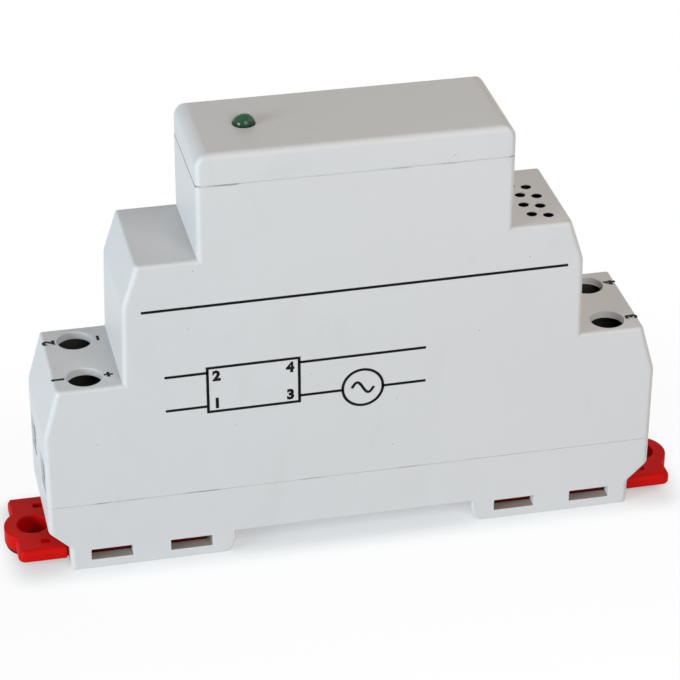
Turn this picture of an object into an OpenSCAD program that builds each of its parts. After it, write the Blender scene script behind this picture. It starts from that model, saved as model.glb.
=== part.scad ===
// Industrial control relay for a 35 mm mounting rail, one module wide.
// X runs along the length, the printed front faces -Y and +Z is up.
// The origin is at the middle of the plane that the two feet stand on.

/* [Housing] */
// Length of the housing between its two end faces
body_l = 90; // [86:1:100]
// Width of the housing, one rail module
body_w = 17.5; // [16:0.5:22]
// Wall thickness of the housing, base and cap
wall = 1.2; // [1:0.1:1.4]
// Height of the seam between the base and the housing
base_h = 11; // [10.2:0.1:12]
// Height at which the end faces start to lean in
end_h = 22.8; // [21:0.2:25]
// Height of the terminal shelves
shelf_h = 30.2; // [29:0.1:33]
// Set-back of each shelf edge from its end face
shelf_inset = 2.1; // [1.4:0.1:2.6]
// Length across the two shoulder walls at the shelves
shoulder_l = 67; // [62:0.5:70]
// Height at which the shoulder walls start to lean in
bend_h = 42.6; // [40:0.2:45]
// Set-back of each shoulder wall at that height
bend_inset = 0.3; // [0:0.1:0.6]
// Height of the shoulder tops
shoulder_h = 48.8; // [47:0.2:52]
// Set-back of each shoulder top from its wall
shoulder_inset = 2.3; // [1.6:0.1:3]
// Length of the nose that passes through a panel cut-out
nose_l = 45; // [42:0.5:46]
// Height of the seam between the housing and the cap
nose_h = 60; // [56:0.5:66]
// Radius of the upright front and back edges
edge_r = 0.9; // [0.5:0.1:1.1]
// Chamfer around the shelves and the shoulder tops
top_chamfer = 0.35; // [0.2:0.05:0.5]
// Height of the two seam grooves
seam = 0.16; // [0.1:0.02:0.24]

/* [Cap] */
// Height of the cap above its seam
cap_h = 4.8; // [4.4:0.2:6]
// Radius of the two short upper edges of the cap
cap_end_r = 2; // [1.6:0.1:2.4]
// Radius of the two long upper edges of the cap
cap_side_r = 1; // [0.6:0.1:1.2]

/* [Vents] */
// Diameter of one vent hole
vent_d = 1.55; // [1.2:0.05:1.7]
// Spacing of the vents along the length
vent_pitch_x = 2.25; // [2:0.05:2.5]
// Spacing of the vent rows across the width
vent_pitch_y = 3; // [2.6:0.05:3.2]
// Number of vents in one row
vent_columns = 2; // [1:1:2]
// Number of rows
vent_rows = 4; // [2:1:4]
// Distance from the nose to the first vent
vent_inset = 3.4; // [1.4:0.05:3.6]
// Distance from the front face to the first row
vent_front = 3; // [2.6:0.05:3.4]
// Shift of every second row
vent_stagger = 0.35; // [0:0.05:0.6]
// Set-back of the vents that are next to the nose
vent_slant = 0.75; // [0:0.05:1]
// Shift of the last row of vents towards the nose
vent_tuck = 0.4; // [0:0.05:0.5]

/* [Terminals] */
// Set-back of the terminal screws from the middle of their chamber
terminal_inset = 0.25; // [0:0.05:0.4]
// Distance of the terminal screws from the side face
terminal_side = 3.55; // [3.5:0.05:3.8]
// Diameter of a screwdriver well
well_d = 5; // [4.6:0.1:5.2]
// Width of a wire entry
entry_w = 4.8; // [4.2:0.1:5]
// Height of a wire entry
entry_h = 4.8; // [4.4:0.1:5.2]
// Height of the lower edge of a wire entry above the base seam
entry_z = 1.8; // [1.6:0.1:2.2]
// Depth and width of the recess around a wire entry
entry_recess = 0.2; // [0.2:0.1:0.6]
// Width of a clamp cage
cage_w = 4.4; // [4:0.1:4.6]
// Length of a clamp cage along the wire
cage_l = 5.2; // [4.6:0.2:5.8]
// Height of a clamp cage
cage_h = 9.2; // [8.8:0.1:9.6]
// Sheet thickness of the sides of a clamp cage
cage_t = 0.6; // [0.5:0.05:0.65]
// How far a clamp cage rises when its screw is tightened
cage_travel = 2.5; // [1.5:0.25:2.5]
// Width of a terminal tab
tab_w = 2.4; // [2:0.1:2.4]
// Sheet thickness of a terminal tab
tab_t = 1; // [0.8:0.1:1.1]
// Diameter of a terminal screw thread
screw_d = 2.5; // [2.3:0.1:2.7]
// Diameter of a terminal screw head
screw_head_d = 4.4; // [4:0.1:4.5]
// Height of a terminal screw head
screw_head_h = 1.8; // [1.4:0.1:2]

/* [Rail] */
// Width of the rail slot at its narrowest place
rail_slot_l = 35.6; // [35.2:0.1:37]
// Depth of the rail slot, which is also the height of the feet
rail_slot_h = 3.45; // [3.4:0.05:3.7]
// Widening of the rail slot at the bottom of each foot
rail_lead = 0.8; // [0.4:0.1:1]
// Set-back of the outer wall of each foot from the end face
foot_inset = 2.9; // [2:0.1:3.4]
// Height of the outer wall of a foot
foot_h = 3.75; // [3.7:0.05:4]
// Height at which the base reaches its full length
flare_h = 6.55; // [6.2:0.05:7]
// Length of a foot window
window_l = 6.1; // [5:0.1:6.4]
// Height of a foot window
window_h = 1.75; // [1.4:0.05:1.8]
// Height of the lower edge of a foot window
window_z = 1.4; // [1.3:0.05:1.5]
// Distance between the two windows of one foot
window_pitch = 11.65; // [11:0.05:12]

/* [Rail clips] */
// Thickness of a rail clip
clip_t = 1.9; // [1.7:0.05:1.95]
// Height of the underside of a rail clip
clip_z = 1.1; // [1:0.05:1.15]
// Width of a rail clip outside its foot
clip_w = 14.4; // [13.8:0.1:14.8]
// Width of a rail clip inside its foot
clip_neck_w = 13.2; // [12.4:0.1:13.4]
// How far a rail clip stands out past the outer wall of its foot
clip_reach = 7.3; // [6.8:0.1:8]
// Radius of the rounded pull on a rail clip
lobe_r = 4.2; // [4:0.1:4.6]
// Height of the underside of the rounded pull
lobe_z = 0.4; // [0.2:0.05:0.8]
// Diameter of the panel screw hole in a rail clip
clip_hole_d = 4.6; // [4.2:0.1:4.8]
// Width of the hook that holds the rail
hook_w = 8.4; // [7:0.2:9]
// How far the hook reaches under the rail
hook_reach = 1.4; // [1:0.1:1.6]
// Thickness of the hook
hook_t = 1.15; // [1:0.05:1.2]
// How far a rail clip slides out
clip_travel = 5; // [4:0.25:5.5]

/* [Electronics] */
// Thickness of the circuit board
board_t = 1.6; // [1.2:0.1:1.8]
// Diameter of the status lamp
lamp_d = 3.04; // [2.8:0.02:3.4]
// Height of the lamp dome above the cap
lamp_dome = 1.4; // [0.8:0.1:1.6]
// Distance of the lamp from the middle of the cap
lamp_x = 14.1; // [12:0.1:15]
// Number of heat sink fins
fin_count = 5; // [3:1:6]

/* [Clearances] */
// Gap around every sliding or turning piece
slide_gap = 0.3; // [0.25:0.01:0.32]
// Gap between fitted mouldings
fit_gap = 0.1; // [0.05:0.01:0.15]

/* [Hidden] */
$fn = 48;

// Over-run of a cut past the face it leaves, and overlap of two shapes of one solid
cut = 1;
join = 0.05;
arc_steps = 6;

half_l = body_l / 2;
half_w = body_w / 2;
inner_w = body_w - 2 * wall;
cap_top = nose_h + cap_h;
end_lean = atan2(shelf_inset, shelf_h - end_h);
shoulder_lean = atan2(shoulder_inset - bend_inset, shoulder_h - bend_h);
shoulder_top_l = shoulder_l - 2 * shoulder_inset;
seam_depth = 2 * seam;

// Lips that hold the mouldings together
lip_t = 0.9;
cap_lip_h = 1.6;
base_lip_h = 1.2;
base_lip_root_z = base_h - 3;
base_lip_root_h = 1.5;
base_lip_root = 0.4;
base_lip_end_gap = 0.5;

// Terminal chambers, one on each side of the middle wall at each end
cage_room = 0.35;
chamber_x0 = shoulder_l / 2;
chamber_x1 = half_l - wall;
terminal_x = (chamber_x0 + chamber_x1) / 2 - terminal_inset;
terminal_y = half_w - terminal_side;
chamber_y0 = wall / 2;
chamber_y1 = terminal_y + cage_w / 2 + cage_room;
entry_margin = 0.3;
entry_y = chamber_y1 - entry_w / 2 - entry_margin;
entry_z0 = base_h + entry_z;
entry_z1 = entry_z0 + entry_h;
tab_top = entry_z1 + tab_t;

// Clamps: an open cage lies a little below its wire entry
cage_sink = 0.2;
cage_floor_t = 1;
cage_top_t = 1.2;
cage_z = entry_z0 - cage_sink;
head_gap = 0.5;
head_z = cage_z + cage_h + cage_travel + head_gap;
screw_slot_w = 0.7;
screw_slot_h = 0.9;

// Feet, channels and clips
slot_half = rail_slot_l / 2;
slot_relief = 0.1;
slot_lead_h = 2.3;
lead_angle = atan2(rail_lead, slot_lead_h);
foot_half = half_l - foot_inset;
window_shift = 0.2;
window_x = (slot_half + foot_half) / 2 + window_shift;
channel_w = clip_neck_w + 2 * slide_gap;
channel_z0 = clip_z - slide_gap - fit_gap;
channel_z1 = clip_z + clip_t + slide_gap;
floor_t = 1.7;
floor_z = channel_z1 + floor_t;
hook_neck = 4.2;
hook_x = slot_half - hook_reach;
hook_lead = 1.1;
hook_lead_h = 0.75;
hook_seat = 0.6;
clip_x0 = slot_half + hook_neck;
clip_x1 = foot_half + clip_reach;
clip_step_x = foot_half + slide_gap;
clip_top = clip_z + clip_t;
clip_corner_r = 1.2;
clip_back_r = 0.3;
lobe_out = 1.3;
lobe_x = clip_x1 + lobe_out - lobe_r;
lobe_clear = 1;
grip = [1.5, 1.2, 0.5];
grip_x = foot_half + 2.3;
grip_y = 4.7;
slit_w = 0.8;
slit_y = clip_neck_w / 2 - 2;
slit_inset = 2;
stop_r = 1.3;
stop_shift = 1;
stop_x = (clip_x0 + foot_half) / 2 + stop_shift;
stop_slot_d = 2 * (stop_r + slide_gap);

// Circuit board and its two posts
board_half = board_t / 2;
board_end_gap = 1.8;
board_l = shoulder_l - 2 * wall - 2 * board_end_gap;
board_end = board_l / 2;
board_foot_gap = 1.2;
board_z0 = base_h + board_foot_gap;
board_top_gap = 3;
board_z1 = shoulder_h - board_top_gap;
board_corner = 3;
tongue_gap = 3.5;
tongue_end = nose_l / 2 - tongue_gap;
tongue_top_gap = 3;
tongue_z1 = nose_h - tongue_top_gap;
post_inset = 10;
post_x = board_end - post_inset;
post_l = 5;
post_w = 4.8;
post_grip = 2;

// Terminal tabs reach in to pads at the ends of the board
tab_foot_l = 2;
tab_inset = 2.5;
tab_x0 = board_end - tab_inset;

// Heat sink along the front wall, with the power triac screwed to it
sink_gap = 0.3;
sink_y0 = -half_w + wall + sink_gap;
sink_t = 1.5;
sink_y1 = sink_y0 + sink_t;
sink_x0 = -6;
sink_tab_gap = 1;
sink_x1 = tab_x0 - sink_tab_gap;
sink_z0 = board_z0 + 1.8;
sink_corner = 3;
sink_bend_gap = 2;
sink_top_gap = 0.5;
sink_leg = 2.5;
fin_t = 1;
fin_h = 3;
fin_x0 = 15;
fin_end_gap = 1;
fin_z0 = sink_z0 + 8;
pad_t = 0.3;
pad_margin = 0.5;
triac_x = 5;
triac_y = sink_y1 + pad_t;
triac_z = board_z0 + 8.3;
triac_w = 10;
triac_tab_t = 1.3;
triac_tab_h = 15.5;
triac_body_h = 9;
triac_board_gap = 0.6;
triac_hole_z = triac_z + 12.8;
triac_hole_d = 3.6;
triac_screw_d = 3;
triac_head_d = 5.4;
triac_head_h = 2;
triac_slot = 0.8;
lead_pitch = 2.54;
lead_w = 0.8;
lead_t = 0.5;
lead_drop = 5;
lead_shift = 2.4;

// Pieces on the back of the board, placed from its two ends
opto_x0 = -board_end + 9.5;
opto_z0 = board_z0 + 11.8;
opto = [7.4, 3.5, 6.4];
opto_lift = 0.5;
opto_pin = 0.6;
opto_pin_inset = 0.9;
opto_pin_h = 2;
varistor_x = board_end - 10.5;
varistor_z = board_z0 + 15.8;
varistor_d = 10;
varistor_t = 4;
varistor_lift = 0.8;
varistor_lead = 2.5;
varistor_lead_d = 0.8;
capacitor = [13, 5.6, 11];
capacitor_x0 = -4;
capacitor_z0 = board_z0 + 7.8;
resistor_d = 2.4;
resistor_l = 6.4;
resistor_lift = 1.6;
resistor_lead_d = 0.6;
resistor_reach = 4;
resistor_x0 = -16;
resistor_z0 = board_z0 + 23.8;
resistor_step_x = 12;
resistor_step_z = 2.6;
diode_gap = 0.7;
diode_x = -tab_x0 + diode_gap + resistor_reach + resistor_lead_d;
diode_z = board_z0 + 5.8;

// Status lamp under the cap, on two leads
lamp_flange = 0.3;
lamp_flange_h = 0.9;
lamp_z = nose_h + 0.9;
lamp_lead_d = 0.5;
lamp_lead_x = 0.9;
lamp_lead_root = 3;

housing_colour = [0.86, 0.86, 0.84];
clip_colour = [0.78, 0.1, 0.08];
steel_colour = [0.72, 0.73, 0.75];
brass_colour = [0.8, 0.66, 0.36];
board_colour = [0.1, 0.36, 0.2];
black_colour = [0.1, 0.1, 0.11];
alloy_colour = [0.78, 0.79, 0.81];
pad_colour = [0.75, 0.76, 0.8];
varistor_colour = [0.15, 0.28, 0.55];
capacitor_colour = [0.85, 0.72, 0.25];
resistor_colour = [0.55, 0.68, 0.78];
lamp_colour = [0.12, 0.42, 0.24];

// Quarter arc about [cx, cy] from angle a0
function corner(cx, cy, r, a0) = [
    for (i = [0 : arc_steps])
        [cx + r * cos(a0 + 90 * i / arc_steps), cy + r * sin(a0 + 90 * i / arc_steps)]
];

function rounded_plan(l, w, r) = concat(
    corner(l / 2 - r, w / 2 - r, r, 0),
    corner(-l / 2 + r, w / 2 - r, r, 90),
    corner(-l / 2 + r, -w / 2 + r, r, 180),
    corner(l / 2 - r, -w / 2 + r, r, 270)
);

// Outline closed by the mirror image of its right half
function both_sides(half) = concat(
    half,
    [for (i = [len(half) - 1 : -1 : 0]) [-half[i][0], half[i][1]]]
);

module slab(l, w, z0, z1) {
    translate([0, 0, z0])
        linear_extrude(z1 - z0)
            polygon(rounded_plan(l, w, edge_r));
}

// Block with rounded upright edges through [height, length, width] levels
module loft(levels) {
    n = 4 * (arc_steps + 1);
    top = n * (len(levels) - 1);
    points = [for (v = levels, p = rounded_plan(v[1], v[2], edge_r)) [p[0], p[1], v[0]]];
    sides = [
        for (k = [0 : len(levels) - 2], i = [0 : n - 1])
            let (j = (i + 1) % n, low = k * n, high = low + n)
            [low + i, high + i, high + j, low + j]
    ];
    polyhedron(points, concat(
        [[for (i = [0 : n - 1]) i]],
        [[for (i = [n - 1 : -1 : 0]) top + i]],
        sides
    ));
}

// Bar with the given X-Z outline, centred on Y
module profile_bar(points, w) {
    translate([0, w / 2, 0])
        rotate([90, 0, 0])
            linear_extrude(w)
                polygon(points);
}

module block(x0, x1, y0, y1, z0, z1) {
    translate([x0, y0, z0])
        cube([x1 - x0, y1 - y0, z1 - z0]);
}

// The children as drawn for side 1, and their mirror image for side -1
module to_end(side) {
    if (side < 0)
        mirror([1, 0, 0])
            children();
    else
        children();
}

module to_face(side) {
    if (side < 0)
        mirror([0, 1, 0])
            children();
    else
        children();
}

module at_both_ends() {
    for (side = [-1, 1])
        to_end(side)
            children();
}

module at_both_faces() {
    for (side = [-1, 1])
        to_face(side)
            children();
}

module housing_outer() {
    shelf_l = body_l - 2 * shelf_inset;
    loft([
        [base_h, body_l, body_w],
        [end_h, body_l, body_w],
        [shelf_h - top_chamfer, shelf_l + 2 * top_chamfer * tan(end_lean), body_w],
        [shelf_h, shelf_l - top_chamfer, body_w - 2 * top_chamfer]
    ]);
    loft([
        [shelf_h - wall, shoulder_l, body_w],
        [bend_h, shoulder_l - 2 * bend_inset, body_w],
        [shoulder_h - top_chamfer, shoulder_top_l + 2 * top_chamfer * tan(shoulder_lean), body_w],
        [shoulder_h, shoulder_top_l - top_chamfer, body_w - 2 * top_chamfer]
    ]);
    slab(nose_l, body_w, shoulder_h - wall, nose_h);
}

module housing_core() {
    profile_bar(both_sides([
        [shoulder_l / 2 - wall, base_h - cut],
        [shoulder_l / 2 - wall, bend_h - bend_inset],
        [shoulder_top_l / 2 - wall, shoulder_h - wall],
        [nose_l / 2 - wall, shoulder_h - wall],
        [nose_l / 2 - wall, nose_h + cut]
    ]), inner_w);
}

module terminal_chamber() {
    top = shelf_h - wall;
    translate([0, (chamber_y0 + chamber_y1) / 2, 0])
        profile_bar([
            [chamber_x0, base_h - cut],
            [chamber_x1, base_h - cut],
            [chamber_x1, end_h],
            [chamber_x1 - (top - end_h) * tan(end_lean), top],
            [chamber_x0, top]
        ], chamber_y1 - chamber_y0);
}

module wire_entry(x0, margin) {
    block(x0, half_l + cut,
          entry_y - entry_w / 2 - margin, entry_y + entry_w / 2 + margin,
          entry_z0 - margin, entry_z1 + margin);
}

module terminal_cuts() {
    terminal_chamber();
    translate([terminal_x, terminal_y, shelf_h - wall - cut])
        cylinder(d = well_d, h = wall + 2 * cut);
    wire_entry(chamber_x1 - cut, 0);
    wire_entry(half_l - entry_recess, entry_recess);
    block(chamber_x0 - wall - cut, chamber_x0 + cut,
          terminal_y - tab_w / 2 - slide_gap, terminal_y + tab_w / 2 + slide_gap,
          entry_z1 - slide_gap, tab_top + slide_gap);
}

module vents() {
    for (row = [0 : vent_rows - 1], column = [0 : vent_columns - 1]) {
        shift = (row % 2 == 0) ? vent_stagger : 0;
        slant = (column == 0) ? vent_slant : 0;
        tuck = (row == vent_rows - 1) ? vent_tuck : 0;
        translate([
            nose_l / 2 + vent_inset + column * vent_pitch_x + shift - tuck,
            -half_w + vent_front + row * vent_pitch_y + slant,
            shoulder_h - wall - cut
        ])
            cylinder(d = vent_d, h = wall + 2 * cut, $fn = 24);
    }
}

module main_housing() {
    color(housing_colour)
        difference() {
            housing_outer();
            housing_core();
            at_both_ends()
                at_both_faces()
                    terminal_cuts();
            vents();
        }
}

// Outline with a flat foot and two rounded upper corners
function arch(l, r) = concat(
    [[-l / 2, nose_h + seam], [l / 2, nose_h + seam]],
    corner(l / 2 - r, cap_top - r, r, 0),
    corner(-l / 2 + r, cap_top - r, r, 90)
);

module cap_outer() {
    slab(nose_l - 2 * seam_depth, body_w - 2 * seam_depth, nose_h, nose_h + seam + join);
    intersection() {
        slab(nose_l, body_w, nose_h, cap_top + cut);
        profile_bar(arch(nose_l, cap_end_r), body_w + 2 * cut);
        rotate([0, 0, 90])
            profile_bar(arch(body_w, cap_side_r), nose_l + 2 * cut);
    }
}

module top_cap() {
    lip_x = nose_l / 2 - wall - fit_gap;
    lip_y = inner_w / 2 - fit_gap;
    color(housing_colour)
        difference() {
            union() {
                cap_outer();
                block(-lip_x, lip_x, -lip_y, lip_y, nose_h - cap_lip_h, nose_h + join);
            }
            block(-lip_x + lip_t, lip_x - lip_t, -lip_y + lip_t, lip_y - lip_t,
                  nose_h - cap_lip_h - cut, cap_top - wall);
            translate([-lamp_x, 0, cap_top - wall - cut])
                cylinder(d = lamp_d + 2 * fit_gap, h = wall + 2 * cut);
        }
}

module base_outer() {
    slab(2 * foot_half, body_w, 0, foot_h + join);
    loft([
        [foot_h, 2 * foot_half, body_w],
        [flare_h, body_l, body_w],
        [base_h - seam, body_l, body_w]
    ]);
    slab(body_l - 2 * seam_depth, body_w - 2 * seam_depth, base_h - seam - join, base_h);
}

module rail_slot() {
    profile_bar(both_sides([
        [slot_half + (slot_lead_h + cut) * tan(lead_angle), -cut],
        [slot_half, slot_lead_h],
        [slot_half + slot_relief, rail_slot_h]
    ]), body_w + 2 * cut);
}

module clip_channel() {
    hook_half = hook_w / 2 + slide_gap;
    block(clip_x0 - slide_gap, clip_x1, -channel_w / 2, channel_w / 2, channel_z0, channel_z1);
    block(slot_half - cut, clip_x0, -hook_half, hook_half, channel_z0, channel_z1);
    for (s = [-1, 1])
        translate([window_x + s * window_pitch / 2 - window_l / 2, -half_w - cut, window_z])
            cube([window_l, body_w + 2 * cut, window_h]);
}

module base_core() {
    profile_bar(both_sides([
        [foot_half - wall, floor_z],
        [half_l - wall, floor_z + flare_h - foot_h],
        [half_l - wall, base_h + cut]
    ]), inner_w);
}

module board_post() {
    top = board_z0 + post_grip;
    grip_y = board_half + fit_gap;
    difference() {
        block(post_x - post_l / 2, post_x + post_l / 2, -post_w / 2, post_w / 2, floor_z - join, top);
        block(post_x - post_l, post_x + post_l, -grip_y, grip_y, board_z0, top + cut);
    }
}

module base_lip() {
    lip_x = shoulder_l / 2 - wall - base_lip_end_gap;
    lip_y = inner_w / 2 - fit_gap;
    block(-lip_x, lip_x, lip_y - lip_t, lip_y, base_lip_root_z, base_h + base_lip_h);
    block(-lip_x, lip_x, lip_y - lip_t, lip_y + base_lip_root,
          base_lip_root_z, base_lip_root_z + base_lip_root_h);
}

module rail_base() {
    color(housing_colour) {
        difference() {
            base_outer();
            rail_slot();
            at_both_ends()
                clip_channel();
            base_core();
        }
        at_both_faces()
            base_lip();
        at_both_ends() {
            board_post();
            translate([stop_x, 0, channel_z0 - join])
                cylinder(r = stop_r, h = channel_z1 - channel_z0 + 2 * join);
        }
    }
}

module clip_plate() {
    translate([0, 0, clip_z])
        linear_extrude(clip_t) {
            translate([clip_x0, -clip_neck_w / 2])
                square([clip_step_x - clip_x0 + join, clip_neck_w]);
            translate([clip_step_x, -clip_w / 2])
                square([clip_x1 - clip_step_x - clip_corner_r, clip_w]);
            translate([clip_step_x, 0])
                square([clip_x1 - clip_step_x - clip_back_r, clip_w / 2]);
            translate([clip_step_x, -clip_w / 2 + clip_corner_r])
                square([clip_x1 - clip_step_x, clip_w - clip_corner_r - clip_back_r]);
            translate([clip_x1 - clip_corner_r, -clip_w / 2 + clip_corner_r])
                circle(clip_corner_r);
            translate([clip_x1 - clip_back_r, clip_w / 2 - clip_back_r])
                circle(clip_back_r);
        }
}

// Rounded pull, deeper than the plate and clear of the foot
module clip_pull() {
    intersection() {
        translate([lobe_x, 0, lobe_z])
            cylinder(r = lobe_r, h = clip_top - lobe_z);
        block(foot_half + lobe_clear, lobe_x + lobe_r + cut,
              -clip_w / 2, clip_w / 2, lobe_z - cut, clip_top + cut);
    }
}

module clip_hook() {
    profile_bar([
        [clip_x0 + hook_seat, clip_z],
        [hook_x + hook_lead, clip_z],
        [hook_x, clip_z + hook_lead_h],
        [hook_x, clip_z + hook_t],
        [slot_half + hook_seat, clip_z + hook_t],
        [slot_half + hook_seat, clip_top],
        [clip_x0 + hook_seat, clip_top]
    ], hook_w);
}

module rail_clip() {
    under = lobe_z - cut;
    over = clip_top + cut;
    color(clip_colour)
        difference() {
            union() {
                clip_plate();
                clip_pull();
                clip_hook();
            }
            for (s = [-1, 1])
                translate([grip_x, s * grip_y - grip[1] / 2, clip_top - grip[2]])
                    cube([grip[0], grip[1], grip[2] + cut]);
            translate([lobe_x, 0, under])
                cylinder(d = clip_hole_d, h = over - under);
            for (x = [stop_x - clip_travel, stop_x])
                translate([x, 0, under])
                    cylinder(d = stop_slot_d, h = over - under);
            block(stop_x - clip_travel, stop_x, -stop_slot_d / 2, stop_slot_d / 2, under, over);
            at_both_faces()
                block(clip_x0 + slit_inset, foot_half - slit_inset,
                      slit_y - slit_w / 2, slit_y + slit_w / 2, under, over);
        }
}

module rail_clip_left() to_end(-1) rail_clip();
module rail_clip_right() to_end(1) rail_clip();

module clamp_screw() {
    tip_z = tab_top + slide_gap;
    head_top = head_z + screw_head_h;
    color(steel_colour)
        translate([terminal_x, terminal_y, 0])
            difference() {
                union() {
                    translate([0, 0, tip_z])
                        cylinder(d = screw_d, h = head_z - tip_z + join);
                    translate([0, 0, head_z])
                        cylinder(d = screw_head_d, h = screw_head_h);
                }
                block(-screw_head_d, screw_head_d, -screw_slot_w / 2, screw_slot_w / 2,
                      head_top - screw_slot_h, head_top + cut);
            }
}

module clamp_cage() {
    top = cage_h - cage_top_t;
    inner = cage_w / 2 - cage_t;
    color(steel_colour)
        translate([terminal_x, terminal_y, cage_z])
            difference() {
                block(-cage_l / 2, cage_l / 2, -cage_w / 2, cage_w / 2, 0, cage_h);
                block(-cage_l, cage_l, -inner, inner, cage_floor_t, top);
                translate([0, 0, top - cut])
                    cylinder(d = screw_d + 2 * slide_gap, h = cage_top_t + 2 * cut);
            }
}

module terminal_tab() {
    color(brass_colour) {
        block(tab_x0, terminal_x + cage_l / 2,
              terminal_y - tab_w / 2, terminal_y + tab_w / 2, entry_z1, tab_top);
        block(tab_x0, tab_x0 + tab_foot_l, board_half, terminal_y, entry_z1, tab_top);
    }
}

module screw_in_front() to_end(-1) to_face(-1) clamp_screw();
module screw_in_back() to_end(-1) to_face(1) clamp_screw();
module screw_out_front() to_end(1) to_face(-1) clamp_screw();
module screw_out_back() to_end(1) to_face(1) clamp_screw();
module cage_in_front() to_end(-1) to_face(-1) clamp_cage();
module cage_in_back() to_end(-1) to_face(1) clamp_cage();
module cage_out_front() to_end(1) to_face(-1) clamp_cage();
module cage_out_back() to_end(1) to_face(1) clamp_cage();
module tab_in_front() to_end(-1) to_face(-1) terminal_tab();
module tab_in_back() to_end(-1) to_face(1) terminal_tab();
module tab_out_front() to_end(1) to_face(-1) terminal_tab();
module tab_out_back() to_end(1) to_face(1) terminal_tab();

module circuit_board() {
    color(board_colour)
        profile_bar(both_sides([
            [board_end, board_z0],
            [board_end, bend_h - board_corner],
            [board_end - board_corner, board_z1],
            [tongue_end, board_z1],
            [tongue_end, tongue_z1]
        ]), board_t);
}

module heat_sink() {
    bend_z = bend_h - sink_bend_gap;
    fin_pitch = (sink_x1 - fin_x0 - fin_end_gap) / (fin_count - 1);
    color(alloy_colour)
        difference() {
            union() {
                block(sink_x0, sink_x1, sink_y0, sink_y1, sink_z0, bend_z);
                block(sink_x0, sink_x1 - sink_corner, sink_y0, sink_y1,
                      bend_z - join, board_z1 - sink_top_gap);
                for (i = [0 : fin_count - 1])
                    translate([fin_x0 + i * fin_pitch, sink_y1 - join, fin_z0])
                        cube([fin_t, fin_h + join, bend_z - fin_end_gap - fin_z0]);
                for (x = [sink_x0, sink_x1 - sink_leg])
                    block(x, x + sink_leg, sink_y1 - join, -board_half, sink_z0, sink_z0 + sink_leg);
            }
            triac_bore(sink_y0, sink_t, triac_screw_d + fit_gap);
        }
}

// Hole for the triac's screw through a plate that starts at y
module triac_bore(y, t, d) {
    translate([triac_x, y - cut, triac_hole_z])
        rotate([-90, 0, 0])
            cylinder(d = d, h = t + 2 * cut);
}

module thermal_pad() {
    half = triac_w / 2 + pad_margin;
    color(pad_colour)
        difference() {
            block(triac_x - half, triac_x + half, sink_y1, triac_y,
                  triac_z - pad_margin, triac_z + triac_tab_h + pad_margin);
            triac_bore(sink_y1, pad_t, triac_hole_d);
        }
}

module power_triac() {
    x0 = triac_x - triac_w / 2;
    x1 = triac_x + triac_w / 2;
    tab_y = triac_y + triac_tab_t;
    lead_y = triac_y + lead_shift;
    color(black_colour) {
        difference() {
            block(x0, x1, triac_y, tab_y, triac_z, triac_z + triac_tab_h);
            triac_bore(triac_y, triac_tab_t, triac_hole_d);
        }
        block(x0, x1, tab_y - join, -board_half - triac_board_gap, triac_z, triac_z + triac_body_h);
        for (i = [-1 : 1])
            translate([triac_x + i * lead_pitch - lead_w / 2, 0, triac_z - lead_drop]) {
                block(0, lead_w, lead_y, lead_y + lead_t, 0, lead_drop + join);
                block(0, lead_w, lead_y, -board_half, -lead_t, join);
            }
    }
}

module triac_screw() {
    head_y = triac_y + triac_tab_t;
    color(steel_colour)
        translate([triac_x, 0, triac_hole_z])
            rotate([-90, 0, 0])
                difference() {
                    union() {
                        translate([0, 0, sink_y0])
                            cylinder(d = triac_screw_d, h = head_y - sink_y0 + join);
                        translate([0, 0, head_y])
                            cylinder(d = triac_head_d, h = triac_head_h);
                    }
                    block(-triac_head_d, triac_head_d, -triac_slot / 2, triac_slot / 2,
                          head_y + triac_head_h - triac_slot, head_y + triac_head_h + cut);
                }
}

module optocoupler() {
    y0 = board_half + opto_lift;
    color(black_colour) {
        translate([opto_x0, y0, opto_z0])
            cube(opto);
        for (i = [0 : 2], z = [opto_z0 - opto_pin, opto_z0 + opto[2] - join])
            translate([opto_x0 + opto_pin_inset + i * lead_pitch, board_half, z])
                cube([opto_pin, opto_pin_h, opto_pin + join]);
    }
}

module varistor() {
    color(varistor_colour)
        translate([varistor_x, board_half, varistor_z])
            rotate([-90, 0, 0]) {
                translate([0, 0, varistor_lift])
                    cylinder(d = varistor_d, h = varistor_t);
                for (s = [-1, 1])
                    translate([s * varistor_lead, 0, 0])
                        cylinder(d = varistor_lead_d, h = varistor_lift + join, $fn = 24);
            }
}

module snubber_capacitor() {
    color(capacitor_colour)
        translate([capacitor_x0, board_half, capacitor_z0])
            cube(capacitor);
}

// Round body along X with two leads down to the board
module axial_part() {
    rotate([0, 90, 0])
        cylinder(d = resistor_d, h = resistor_l, center = true);
    rotate([0, 90, 0])
        cylinder(d = resistor_lead_d, h = 2 * resistor_reach, center = true, $fn = 24);
    for (s = [-1, 1])
        translate([s * resistor_reach, 0, 0])
            rotate([90, 0, 0])
                cylinder(d = resistor_lead_d, h = resistor_lift, $fn = 24);
}

module resistors() {
    color(resistor_colour)
        for (i = [0 : 2])
            translate([
                resistor_x0 + i * resistor_step_x,
                board_half + resistor_lift,
                resistor_z0 + i * resistor_step_z
            ])
                axial_part();
}

module input_diode() {
    color(black_colour)
        translate([diode_x, board_half + resistor_lift, diode_z])
            axial_part();
}

module status_lamp() {
    r = lamp_d / 2;
    rim = r + lamp_flange;
    rim_z = lamp_z + lamp_flange_h;
    dome = [
        for (i = [0 : 2 * arc_steps])
            [r * cos(45 * i / arc_steps), cap_top + lamp_dome * sin(45 * i / arc_steps)]
    ];
    color(lamp_colour)
        translate([-lamp_x, 0, 0])
            rotate_extrude()
                polygon(concat(
                    [[0, lamp_z], [rim, lamp_z], [rim, rim_z], [r, rim_z]],
                    dome
                ));
}

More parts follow.
